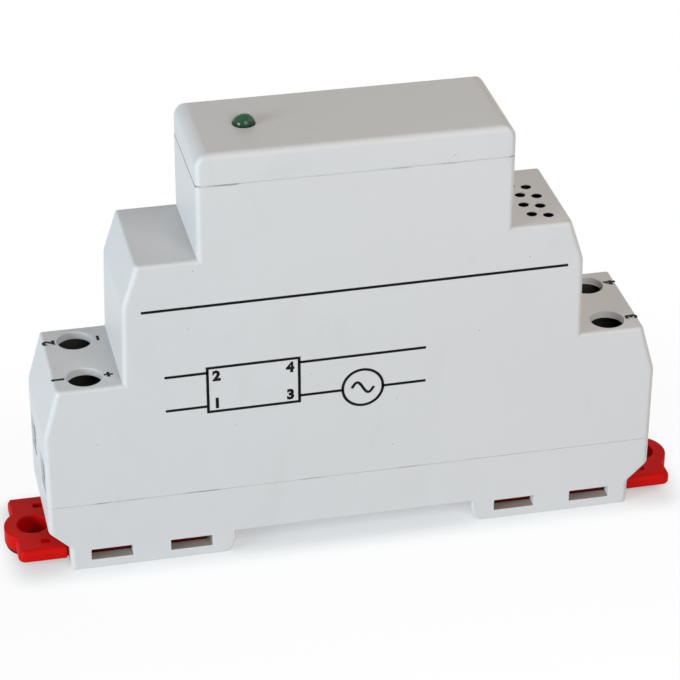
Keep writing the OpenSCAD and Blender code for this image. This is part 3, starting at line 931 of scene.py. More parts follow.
def flats_of(draft: bmesh.types.BMesh) -> tuple[dict[int, int], list[float]]:
    """Gathers faces that touch and lie in one plane into flats.

    Args:
        draft: A closed mesh with its normals up to date.

    Returns:
        The number of each face's flat, by the face's own number, and the area of each flat.
    """
    flat_of: dict[int, int] = {}
    areas: list[float] = []
    for face in draft.faces:
        if face.index in flat_of:
            continue
        flat_of[face.index] = len(areas)
        areas.append(0.0)
        queue = [face]
        while queue:
            here = queue.pop()
            areas[-1] += here.calc_area()
            for near in (touching for edge in here.edges for touching in edge.link_faces):
                if near.index not in flat_of and near.normal.dot(here.normal) > SAME_FLAT:
                    flat_of[near.index] = len(areas) - 1
                    queue.append(near)
    return flat_of, areas


def settle_normals(mesh: Mesh) -> None:
    """Shades flats flat and fillets round, by the area of the flat that each face is part of.

    Args:
        mesh: A closed mesh in metres.
    """
    draft = bmesh.new()
    draft.from_mesh(mesh)
    bmesh.ops.remove_doubles(draft, verts=draft.verts, dist=WELD * MM)
    bmesh.ops.dissolve_degenerate(draft, edges=draft.edges, dist=WELD * MM)
    draft.faces.ensure_lookup_table()
    draft.normal_update()
    flat_of, areas = flats_of(draft)
    limit = math.cos(math.radians(CREASE))
    normals = []
    for face in draft.faces:
        for corner in face.loops:
            near = (f for f in corner.vert.link_faces if f.normal.dot(face.normal) > limit)
            flats = {flat_of[f.index]: f.normal for f in near}
            total = sum((normal * areas[flat] for flat, normal in flats.items()), Vector())
            normals.append(total.normalized() if total.length > 0 else face.normal)
    draft.to_mesh(mesh)
    draft.free()
    mesh.shade_smooth()
    mesh.normals_split_custom_set(normals)


class Workpiece:
    """A mesh that is built up by joining and cutting closed forms."""

    def __init__(self, name: str, form: Form) -> None:
        """Starts the piece from its first form."""
        self.obj = in_scene(name, as_mesh(form, name))
        self.lining: tuple[Finish, Callable[[Vector], bool]] | None = None

    def line(self, finish: Finish, inside: Callable[[Vector], bool]) -> None:
        """Gives a painted shade finish to the faces whose middle, in millimetres, passes a test."""
        self.lining = (finish, inside)

    def add(self, *forms: Form) -> None:
        """Joins forms to the piece."""
        for form in forms:
            self._combine(form, Join.ADD)

    def cut(self, *forms: Form) -> None:
        """Cuts forms out of the piece."""
        for form in forms:
            self._combine(form, Join.CUT)

    def mirror_ends(self) -> None:
        """Turns the piece into its mirror image along X."""
        self.obj.data.transform(Matrix.Scale(-1, 4, (1, 0, 0)))
        self.obj.data.flip_normals()

    def publish(self, body: str, finish: Finish, node: str, slot: str) -> Piece:
        """Finishes the piece and hands it to its body.

        Args:
            body: The CAD body that it moves with.
            finish: Its surface finish.
            node: The CAD node that it replaces.
            slot: Name of a material slot, which is not used.

        Returns:
            The finished object.
        """
        mesh = self.obj.data
        settle_normals(mesh)
        mesh.materials.clear()
        mesh.materials.append(finish.material())
        if self.lining:
            lining, is_inside = self.lining
            mesh.materials.append(lining.material())
            for face in mesh.polygons:
                face.material_index = int(is_inside(face.center / MM))
        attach(self.obj, body)
        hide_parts(node)
        return self.obj

    def _combine(self, form: Form, how: Join) -> None:
        """Joins or cuts one form by a Boolean step.

        Args:
            form: The form, which is used up.
            how: Whether it is joined or cut.
        """
        tool = in_scene("tool", as_mesh(form, "tool"))
        step = self.obj.modifiers.new("step", "BOOLEAN")
        step.operation = how.value
        step.solver = "MANIFOLD"
        step.object = tool
        used = (self.obj.data, tool.data)
        self.obj.data = evaluated_mesh(self.obj)
        self.obj.modifiers.clear()
        bpy.data.objects.remove(tool)
        for mesh in used:
            bpy.data.meshes.remove(mesh)


class Recipe:
    """A Geometry Nodes tree with named inputs that is run once for each plain mesh."""

    def __init__(self, name: str, lengths: Sequence[str], inputs: Mapping[str, str]) -> None:
        """Starts a tree.

        Args:
            name: The tree's name.
            lengths: Names of the inputs that are plain lengths.
            inputs: The kind of socket of each other named input.
        """
        self.tree = bpy.data.node_groups.new(name, "GeometryNodeTree")
        self.graph = Graph(self.tree)
        self.lengths = lengths
        sockets = self.tree.interface
        kinds = {label: "NodeSocketFloat" for label in lengths}
        kinds |= {**inputs, "Finish": "NodeSocketMaterial"}
        self.keys = {
            label: sockets.new_socket(name=label, in_out="INPUT", socket_type=kind).identifier
            for label, kind in kinds.items()
        }
        sockets.new_socket(name="Geometry", in_out="OUTPUT", socket_type="NodeSocketGeometry")
        self.entry = self.graph.node("NodeGroupInput")

    def value(self, label: str) -> Wire:
        """The named input as a wire."""
        return self.entry.other(label)

    def close(self, geometry: Wire) -> "Recipe":
        """Ends the tree in real, dressed geometry.

        Args:
            geometry: What the tree has made.

        Returns:
            The recipe itself.
        """
        real = self.graph.node("GeometryNodeRealizeInstances", None, {0: geometry})
        dressing = {"Geometry": real, "Material": self.value("Finish")}
        dressed = self.graph.node("GeometryNodeSetMaterial", None, dressing)
        self.graph.node("NodeGroupOutput", None, {0: dressed})
        return self

    def mesh(
        self, name: str, finish: Finish, lengths: Mapping[str, float], others: Mapping[str, Any]
    ) -> Mesh:
        """Runs the tree.

        Args:
            name: Name of the new mesh.
            finish: What it is made of.
            lengths: The named lengths in millimetres. A length that isn't given is 0.
            others: The value of each other named input.

        Returns:
            A plain mesh with no modifier.
        """
        empty = bpy.data.meshes.new(name + "_host")
        host = in_scene(name, empty)
        maker = host.modifiers.new(self.tree.name, "NODES")
        maker.node_group = self.tree
        values = {label: lengths.get(label, 0.0) * MM for label in self.lengths}
        values |= {**others, "Finish": finish.material()}
        for label, value in values.items():
            maker[self.keys[label]] = value
        made = evaluated_mesh(host)
        made.name = name
        bpy.data.objects.remove(host)
        bpy.data.meshes.remove(empty)
        return made


def flared_holes_recipe() -> Recipe:
    """A tree that sets out rows of round cutters with rounded rims, for wells and vents.

    Returns:
        The recipe. Its cutters stand in a grid whose even rows are shifted along X, whose first
        column is shifted along Y and whose last row is drawn back along X.
    """
    recipe = Recipe(
        "flared_holes",
        ("Radius", "Rim", "Depth", "Pitch X", "Pitch Y", "Stagger", "Slant", "Tuck"),
        {"Columns": "NodeSocketInt", "Rows": "NodeSocketInt", "First": "NodeSocketVector"},
    )
    graph, value = recipe.graph, recipe.value
    rows_up = RIM_STEPS + 2
    unit = graph.node(
        "GeometryNodeMeshCylinder",
        None,
        {"Vertices": HOLE_SIDES, "Side Segments": rows_up, "Radius": 1.0, "Depth": 1.0},
    )
    # Rows and columns are whole numbers, so they are compared half a step apart.
    x = graph.split(graph.node("GeometryNodeInputPosition"))
    row = (x.other("Z") + 0.5) * rows_up
    climb = ((row - 1) / RIM_STEPS).held(0.0, 1.0)
    round_off = 1 - (1 - climb * climb).math("SQRT")
    radius = value("Radius") + value("Rim") * round_off
    at_ends = row.over(rows_up - 0.5) - row.under(0.5)
    height = value("Rim") * (climb - 1) + at_ends * value("Depth")
    place = graph.joined(x * radius, x.other("Y") * radius, height)
    cutter = graph.node("GeometryNodeSetPosition", None, {"Geometry": unit, "Position": place})
    number = graph.node("GeometryNodeInputIndex")
    column = number % value("Columns")
    line = (number / value("Columns")).math("FLOOR")
    is_even, is_last = (line % 2).under(0.5), (line + 1.5).over(value("Rows"))
    along = column * value("Pitch X") + is_even * value("Stagger") - is_last * value("Tuck")
    across = line * value("Pitch Y") + column.under(0.5) * value("Slant")
    shift = {0: graph.joined(along, across), 1: value("First")}
    spots = {
        "Count": value("Columns") * value("Rows"),
        "Position": graph.node("ShaderNodeVectorMath", {"operation": "ADD"}, shift),
    }
    points = graph.node("GeometryNodePoints", None, spots)
    return recipe.close(
        graph.node("GeometryNodeInstanceOnPoints", None, {"Points": points, "Instance": cutter})
    )


def slotted_screw_recipe() -> Recipe:
    """A tree that makes one slotted terminal screw with a crowned head and a turned thread.

    Returns:
        The recipe. The underside of the head is at the input named Seat.
    """
    recipe = Recipe(
        "slotted_screw",
        ("Head Radius", "Head Height", "Crown", "Slot Width", "Slot Depth",
         "Core Radius", "Core Length", "Thread Pitch", "Thread Depth"),
        {"Seat": "NodeSocketVector"},
    )
    graph, value = recipe.graph, recipe.value
    head_r, head_h = value("Head Radius"), value("Head Height")
    core_r, core_l, pitch = value("Core Radius"), value("Core Length"), value("Thread Pitch")
    crown_r = head_r - value("Crown")

    def moved(geometry: Wire, place: Wire) -> Wire:
        """Geometry moved to a place."""
        inputs = {"Geometry": geometry, "Translation": place}
        return graph.node("GeometryNodeTransform", None, inputs)

    def lifted(geometry: Wire, height: Value) -> Wire:
        """Geometry moved up by a height."""
        return moved(geometry, graph.joined(0.0, 0.0, height))

    def cylinder(sides: int, radius: Wire, depth: Wire) -> Wire:
        """An upright cylinder about the origin."""
        inputs = {"Vertices": sides, "Radius": radius, "Depth": depth}
        return graph.node("GeometryNodeMeshCylinder", None, inputs)

    def boolean(operation: str, inputs: Mapping[int, Value]) -> Wire:
        """One form made of others."""
        settings = {"operation": operation, "solver": "EXACT"}
        return graph.node("GeometryNodeMeshBoolean", settings, inputs)

    cone = graph.node(
        "GeometryNodeMeshCone",
        None,
        {
            "Vertices": HEAD_SIDES,
            "Radius Top": crown_r,
            "Radius Bottom": crown_r + head_h * 2,
            "Depth": head_h * 2,
        },
    )
    blank = cylinder(HEAD_SIDES, head_r, head_h)
    crowned = boolean("INTERSECT", {1: [lifted(blank, head_h * 0.5), lifted(cone, head_h * -1)]})
    groove_size = graph.joined(head_r * 3, value("Slot Width"), value("Slot Depth") * 2)
    groove = graph.node("GeometryNodeMeshCube", None, {"Size": groove_size})
    head = boolean("DIFFERENCE", {0: crowned, 1: lifted(groove, head_h)})
    helix = graph.node(
        "GeometryNodeCurveSpiral",
        None,
        {
            "Resolution": HELIX_STEPS,
            "Rotations": core_l / pitch - RUN_OUT,
            "Start Radius": core_r,
            "End Radius": core_r,
            "Height": core_l - pitch * RUN_OUT,
        },
    )
    ridge = graph.node(
        "GeometryNodeCurvePrimitiveCircle",
        None,
        {"Resolution": RIDGE_SIDES, "Radius": value("Thread Depth")},
    )
    sweep = {"Curve": helix, "Profile Curve": ridge, "Fill Caps": True}
    thread = graph.node("GeometryNodeCurveToMesh", None, sweep)
    parts = [
        head,
        lifted(cylinder(CORE_SIDES, core_r, core_l), core_l * -0.5),
        lifted(thread, pitch * 0.5 - core_l),
    ]
    whole = graph.node("GeometryNodeJoinGeometry", None, {0: parts})
    return recipe.close(moved(whole, value("Seat")))


HOLES = flared_holes_recipe()
SCREW = slotted_screw_recipe()


def box_mm(node: str) -> tuple[Vector, Vector]:
    """The lowest and highest corners of a CAD node in millimetres."""
    low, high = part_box(node)
    return low / MM, high / MM


class Terminal(Enum):
    """The four terminals, with what is printed beside each of them."""

    IN_FRONT = ("in_front", -1, -1, "1", Sign.PLUS)
    IN_BACK = ("in_back", -1, 1, "2", Sign.MINUS)
    OUT_FRONT = ("out_front", 1, -1, "3", Sign.NONE)
    OUT_BACK = ("out_back", 1, 1, "4", Sign.NONE)

    def __init__(self, key: str, end: int, side: int, number: str, sign: Sign) -> None:
        """Names the terminal's values.

        Args:
            key: The name that its bodies and nodes end in.
            end: -1 at the input end and 1 at the output end.
            side: -1 at the front and 1 at the back.
            number: The plain number beside its well.
            sign: The sign beside its well.
        """
        self.key = key
        self.end = end
        self.side = side
        self.number = number
        self.sign = sign

    @property
    def middle(self) -> Vector:
        """The middle of its screw, in millimetres."""
        low, high = box_mm("screw_" + self.key)
        return (low + high) / 2

    def by_end(self, values: Pair) -> float:
        """The one of two values that belongs to its end."""
        return values[self.end > 0]

    def by_side(self, values: Pair) -> float:
        """The one of two values that belongs to its side."""
        return values[self.side > 0]


@dataclass
class Housing:
    """White stepped moulding with the terminal chambers, wells, wire entries and vents."""

    end_bend_z: float = 22.8
    shelf_z: float = 30.2
    shelf_inset: float = 2.1
    shoulder_half: float = 33.5
    shoulder_bend_z: float = 42.6
    shoulder_bend_inset: float = 0.3
    shoulder_z: float = 48.8
    shoulder_inset: float = 2.3
    nose_half: float = 22.5
    wall: float = 1.2
    edges: Pair = (0.8, 0.3)
    bend_r: float = 2.5
    crown: Trio = (0.3, 0.6, 0.25)
    seam_r: float = 0.06
    chamber_y: Pair = (0.6, 7.75)
    well_r: float = 2.5
    well_rim: float = 0.14
    well_count: tuple[int, int] = (2, 2)
    entry: Pair = (4.8, 4.8)
    entry_y: float = 5.05
    entry_z: float = 15.2
    entry_corner: float = 0.35
    entry_recess: float = 0.2
    entry_rim: float = 0.1
    vent_r: float = 0.775
    vent_skin: float = 0.14
    vent_rim: float = 0.03
    vent_first: Pair = (25.9, -5.75)
    vent_pitch: Pair = (2.25, 3.0)
    vent_stagger: float = 0.35
    vent_slant: float = 0.75
    vent_tuck: float = 0.4
    vent_count: tuple[int, int] = (2, 4)
    tab_slot: Pair = (3.0, 1.6)

    def __post_init__(self) -> None:
        """Takes the overall sizes from the CAD node."""
        low, high = box_mm("main_housing")
        self.half_l, self.half_w = high.x, high.y
        self.seam_z, self.top_z = low.z, high.z

    def build(self) -> list[Piece]:
        """Builds the shell.

        Returns:
            The finished shell on the housing body.
        """
        lower = [
            (self.half_l, self.seam_z),
            (self.half_l, self.end_bend_z),
            (self.half_l - self.shelf_inset, self.shelf_z),
        ]
        upper = [
            (self.shoulder_half, self.shelf_z - self.wall),
            (self.shoulder_half - self.shoulder_bend_inset, self.shoulder_bend_z),
            (self.shoulder_half - self.shoulder_inset, self.shoulder_z),
        ]
        nose = [(self.nose_half, self.shoulder_z - self.wall), (self.nose_half, self.top_z)]
        shell = Workpiece("housing_shell", self._tier(lower, self.crown, self.seam_r))
        shell.add(self._tier(upper, self.crown), self._tier(nose, (self.seam_r,) * 3))
        shell.cut(self._core(), self._vent_pocket(), *self._chambers(), *self._entries())
        shell.cut(self._wells(), self._vents())
        # The board's room and the terminal chambers get a dark grey copy of the moulding as painted
        # shade.
        shell.line(PAINTED_SHADE_INSIDE, self._is_inside)
        return [shell.publish("housing", WHITE_SHELL, "main_housing", "housing")]

    def _tier(self, path: Sequence[Pair], crown: Trio, foot: float = 0.0) -> Shape:
        """One step of the housing, whose end faces follow a path."""
        return tier(eased(path, self.bend_r), self.half_w, self.edges, crown, foot)

    def _core_half(self) -> list[Pair]:
        """Draws half the outline of the room for the circuit board.

        Returns:
            The right half, from the bottom up.
        """
        shoulder, nose = self.shoulder_half - self.wall, self.nose_half - self.wall
        return [
            (shoulder, self.seam_z - OVERRUN),
            (shoulder, self.shoulder_bend_z - self.shoulder_bend_inset),
            (shoulder - self.shoulder_inset, self.shoulder_z - self.wall),
            (nose, self.shoulder_z - self.wall),
            (nose, self.top_z + OVERRUN),
        ]

    def _core(self) -> Shape:
        """The room for the circuit board."""
        inner = self.half_w - self.wall
        return prism(both_ends(self._core_half()), -inner, inner, Axis.Y)

    def _vent_pocket(self) -> Shape:
        """Shapes the pocket that thins the shoulder's wall behind the vents.

        Returns:
            The pocket's cutter.
        """
        (x, y), (step_x, step_y) = self.vent_first, self.vent_pitch
        columns, rows = self.vent_count
        reach = self.vent_r + self.vent_skin
        far_x = x + step_x * (columns - 1) + self.vent_stagger
        far_y = y + step_y * (rows - 1) + self.vent_slant
        return block(
            (x - self.vent_tuck - reach, y - reach, self.shoulder_z - self.wall - SINK),
            (far_x + reach, far_y + reach, self.shoulder_z - self.vent_skin),
        )

    def _is_inside(self, middle: Vector) -> bool:
        """Tells whether a face is in the board's room or in a terminal chamber.

        Args:
            middle: The face's middle in millimetres.

        Returns:
            True for a face that gets painted shade.
        """
        x, y, z = abs(middle.x), abs(middle.y), middle.z
        if y > self.chamber_y[1] + SINK or not self.seam_z + SINK < z < self.top_z - SINK:
            return False
        if x > self.shoulder_half - SINK:
            return x < self.half_l - self.wall + SINK and z < self.shelf_z - self.wall + SINK
        room = self._core_half()
        if z < self.shoulder_z - self.vent_skin + SINK and x < room[2][0]:
            return True
        return any(
            x < x0 + (x1 - x0) * (z - z0) / max(z1 - z0, SINK) + SINK
            for (x0, z0), (x1, z1) in zip(room, room[1:])
            if z0 <= z <= z1
        )

    def _chambers(self) -> list[Shape]:
        """Shapes the four terminal chambers and the slots that their tabs pass through.

        Returns:
            Two cutters for each terminal.
        """
        top, outer = self.shelf_z - self.wall, self.half_l - self.wall
        lean = self.shelf_inset / (self.shelf_z - self.end_bend_z)
        right = [
            (self.shoulder_half, self.seam_z - OVERRUN),
            (outer, self.seam_z - OVERRUN),
            (outer, self.end_bend_z),
            (outer - (top - self.end_bend_z) * lean, top),
            (self.shoulder_half, top),
        ]
        slot_ends = (self.shoulder_half - self.wall - OVERRUN, self.shoulder_half + OVERRUN)
        half_y, half_z = self.tab_slot[0] / 2, self.tab_slot[1] / 2
        forms = []
        for terminal in Terminal:
            outline = [(terminal.end * x, z) for x, z in right]
            low, high = sorted(terminal.side * y for y in self.chamber_y)
            forms.append(prism(outline, low, high, Axis.Y))
            tab_low, tab_high = box_mm("tab_" + terminal.key)
            y, z = terminal.middle.y, (tab_low.z + tab_high.z) / 2
            x0, x1 = sorted(terminal.end * x for x in slot_ends)
            forms.append(block((x0, y - half_y, z - half_z), (x1, y + half_y, z + half_z)))
        return forms

    def _entries(self) -> list[Shape]:
        """Shapes the four wire entries, each a shallow recess with a square hole in it.

        Returns:
            Two cutters for each entry.
        """
        half_y, half_z = self.entry[0] / 2, self.entry[1] / 2
        floor = self.half_l - self.entry_recess
        recess = (self.entry_recess, floor + OVERRUN, self.half_l)
        hole = (0.0, self.half_l - self.wall - OVERRUN, floor)
        forms = []
        for terminal in Terminal:
            centre = (terminal.side * self.entry_y, self.entry_z)
            for margin, start, stop in (recess, hole):
                plan = rounded_plan(half_y + margin, half_z + margin, self.entry_corner, centre)
                low, high = (terminal.end * x for x in (start, stop)[:: terminal.end])
                rims = (0.0, self.entry_rim)[:: terminal.end]
                forms.append(flared(plan, low, high, rims, Axis.X))
        return forms

    def _wells(self) -> Mesh:
        """Makes the cutters of the four screwdriver wells.

        Returns:
            One mesh of all the cutters.
        """
        near, far = Terminal.IN_FRONT.middle, Terminal.OUT_BACK.middle
        lengths = {
            "Radius": self.well_r, "Rim": self.well_rim,
            "Pitch X": far.x - near.x, "Pitch Y": far.y - near.y,
        }
        return self._holes("wells", (near.x, near.y, self.shelf_z), self.well_count, lengths)

    def _vents(self) -> Mesh:
        """Makes the cutters of the vents in the shoulder at the output end.

        Returns:
            One mesh of all the cutters.
        """
        lengths = {
            "Radius": self.vent_r, "Rim": self.vent_rim,
            "Pitch X": self.vent_pitch[0], "Pitch Y": self.vent_pitch[1],
            "Stagger": self.vent_stagger, "Slant": self.vent_slant, "Tuck": self.vent_tuck,
        }
        return self._holes("vents", (*self.vent_first, self.shoulder_z), self.vent_count, lengths)

    def _holes(
        self, name: str, first: Trio, count: tuple[int, int], lengths: Mapping[str, float]
    ) -> Mesh:
        """Sets out the cutters of a group of round holes through the wall.

        Args:
            name: The group's name.
            first: The middle of the first hole's mouth.
            count: Number of columns and of rows.
            lengths: The group's named lengths.

        Returns:
            One mesh of all the cutters.
        """
        others = {"Columns": count[0], "Rows": count[1], "First": Vector(first) * MM}
        return HOLES.mesh(name, WHITE_SHELL, {"Depth": self.wall + OVERRUN, **lengths}, others)


@dataclass
class Cap:
    """White cap that closes the nose, with rounded upper edges and a hole for the lamp."""

    crown: Trio = (2.0, 1.0, 1.0)
    edges: Pair = (0.8, 0.5)
    edge_r: float = 0.6
    seam: float = 0.16
    seam_depth: Pair = (0.5, 0.14)
    seam_r: float = 0.08
    wall: float = 1.2
    lip: float = 0.9
    lip_inset: float = 1.3
    lamp_gap: float = 0.1
    lamp_rim: float = 0.08
    lamp_sides: int = 48

    def __post_init__(self) -> None:
        """Takes the overall sizes from the CAD nodes."""
        low, high = box_mm("top_cap")
        self.half_l, self.half_w, self.top_z, self.lip_z = high.x, high.y, high.z, low.z
        self.seam_z = box_mm("main_housing")[1].z

    def build(self) -> list[Piece]:
        """Builds the cap.

        Returns:
            The finished cap on the housing body.
        """
        foot = self.seam_z + self.seam
        skirt = [(self.half_l, foot), (self.half_l, self.top_z)]
        neck_l, neck_w = self.half_l - self.seam_depth[0], self.half_w - self.seam_depth[1]
        lip_l, lip_w = self.half_l - self.lip_inset, self.half_w - self.lip_inset
        outer = tier(skirt, self.half_w, self.edges, self.crown, self.seam_r)
        shell = Workpiece("cap_shell", outer)
        shell.add(
            prism(rounded_plan(neck_l, neck_w, self.edge_r), self.seam_z, foot + self.wall),
            prism(rounded_plan(lip_l, lip_w, self.edge_r / 2), self.lip_z, self.seam_z + SINK),
        )
        room = rounded_plan(lip_l - self.lip, lip_w - self.lip, self.edge_r / 2)
        low, high = box_mm("status_lamp")
        middle = ((low.x + high.x) / 2, (low.y + high.y) / 2)
        hole = ring(middle, StatusLamp.dome_r + self.lamp_gap, self.lamp_sides)
        shell.cut(
            prism(room, self.lip_z - OVERRUN, self.top_z - self.wall),
            flared(hole, self.top_z - self.wall, self.top_z, (0.0, self.lamp_rim)),
        )
        return [shell.publish("housing", WHITE_SHELL, "top_cap", "housing")]


@dataclass
class Base:
    """White rail base with two feet, the rail slot, clip channels and foot windows."""

    foot_half: float = 42.1
    foot_draft: Pair = (0.1, 1.1)
    foot_z: float = 3.75
    flare_z: float = 6.55
    bend_r: float = 0.9
    edges: Pair = (0.8, 0.3)
    edge_r: float = 0.5
    sole_r: float = 0.15
    seam: float = 0.05
    seam_depth: float = 0.1
    seam_r: float = 0.04
    wall: float = 1.2
    floor_z: float = 5.0
    slot_half: float = 17.8
    slot_lead: Pair = (0.8, 2.3)
    slot_relief: float = 0.1
    slot_z: float = 3.45
    slot_rim: float = 0.22
    slot_corner: float = 0.8
    channel_half: float = 6.9
    channel_x0: float = 21.7
    channel_z: Pair = (0.7, 3.3)
    hook_half: float = 4.5
    window: Pair = (6.1, 1.75)
    window_x: Pair = (24.325, 35.975)
    window_z: float = 1.4
    window_corner: float = 0.12
    window_rim: float = 0.1
    stop_x: float = 33.05
    stop_r: float = 1.3
    stop_sides: int = 32

    def __post_init__(self) -> None:
        """Takes the overall sizes from the CAD nodes."""
        high = box_mm("rail_base")[1]
        self.half_l, self.half_w = high.x, high.y
        self.top_z = box_mm("main_housing")[0].z

    def build(self) -> list[Piece]:
        """Builds the base.

        Returns:
            The finished base on the housing body.
        """
        rim_z = self.top_z - self.seam
        path = [
            (self.foot_half - self.foot_draft[0], 0.0),
            (self.foot_half, self.foot_draft[1]),
            (self.foot_half, self.foot_z),
            (self.half_l, self.flare_z),
            (self.half_l, rim_z),
        ]
        crown = (self.seam_r,) * 3
        outer = tier(eased(path, self.bend_r), self.half_w, self.edges, crown, self.sole_r)
        neck_l, neck_w = self.half_l - self.seam_depth, self.half_w - self.seam_depth
        shell = Workpiece("base_shell", outer)
        shell.add(prism(rounded_plan(neck_l, neck_w, self.edge_r), rim_z - self.wall, self.top_z))
        shell.cut(self._room(), self._rail_slot(), *self._channels(), *self._windows())
        shell.add(*self._stops())
        # Window sills and the clip channels' walls get a darker brownish copy of the shell as
        # painted shade.
        shell.line(PAINTED_SHADE_SHELL, self._is_sill)
        return [shell.publish("housing", WHITE_SHELL, "rail_base", "housing")]

    def _is_sill(self, middle: Vector) -> bool:
        """Tells whether a face is a window's sill or a channel's wall.

        Args:
            middle: The face's middle in millimetres.

        Returns:
            True for a face in the shade.
        """
        x, y, z = abs(middle.x), abs(middle.y), middle.z
        if x < self.slot_half + OVERRUN or y > self.half_w - self.window_rim:
            return False
        low, high = self.channel_z
        is_wall = y < self.channel_half + SINK and low - SINK < z < high + SINK
        return is_wall or abs(z - self.window_z) < self.window_rim

    def _room(self) -> Shape:
        """Shapes the hollow over the floor.

        Returns:
            The hollow's cutter.
        """
        half = [
            (self.foot_half - self.wall, self.floor_z),
            (self.half_l - self.wall, self.floor_z + self.flare_z - self.foot_z),
            (self.half_l - self.wall, self.top_z + OVERRUN),
        ]
        return prism(both_ends(half), self.wall - self.half_w, self.half_w - self.wall, Axis.Y)

    def _rail_slot(self) -> Shape:
        """Shapes the slot that the rail's two flanges lie in.

        Returns:
            The slot's cutter.
        """
        lead, lead_z = self.slot_lead
        path = [(self.foot_half, 0.0), (self.slot_half + lead, 0.0), (self.slot_half, lead_z)]
        mouth = eased(path, self.slot_corner)[1:]
        top = (self.slot_half + self.slot_relief, self.slot_z)
        outline = both_ends([(mouth[0][0], -OVERRUN), *mouth, top])
        return flared(outline, -self.half_w, self.half_w, (self.slot_rim,) * 2, Axis.Y)

    def _channels(self) -> list[Shape]:
        """Shapes the channels that the clips slide in and the openings that their hooks pass.

        Returns:
            Two cutters for each end.
        """
        wide = (self.channel_x0, self.half_l + OVERRUN, self.channel_half)
        narrow = (self.slot_half - OVERRUN, self.channel_x0 + SINK, self.hook_half)
        low, high = self.channel_z
        forms = []
        for end in End:
            for near, far, half in (wide, narrow):
                x0, x1 = sorted((end.value * near, end.value * far))
                forms.append(block((x0, -half, low), (x1, half, high)))
        return forms

    def _windows(self) -> list[Shape]:
        """Shapes the windows in the front and back walls of the feet.

        Returns:
            One cutter for each pair of windows.
        """
        half_x, half_z = self.window[0] / 2, self.window[1] / 2
        forms = []
        for x in (end.value * x for end in End for x in self.window_x):
            centre = (x, self.window_z + half_z)
            plan = rounded_plan(half_x, half_z, self.window_corner, centre)
            rims = (self.window_rim,) * 2
            forms.append(flared(plan, -self.half_w, self.half_w, rims, Axis.Y))
        return forms

    def _stops(self) -> list[Shape]:
        """Shapes the pins that stop the clips.

        Returns:
            One pin for each end.
        """
        pin = ring((0.0, 0.0), self.stop_r, self.stop_sides)
        low, high = self.channel_z
        return [
            prism([(end.value * self.stop_x + x, y) for x, y in pin], low - SINK, high + SINK)
            for end in End
        ]


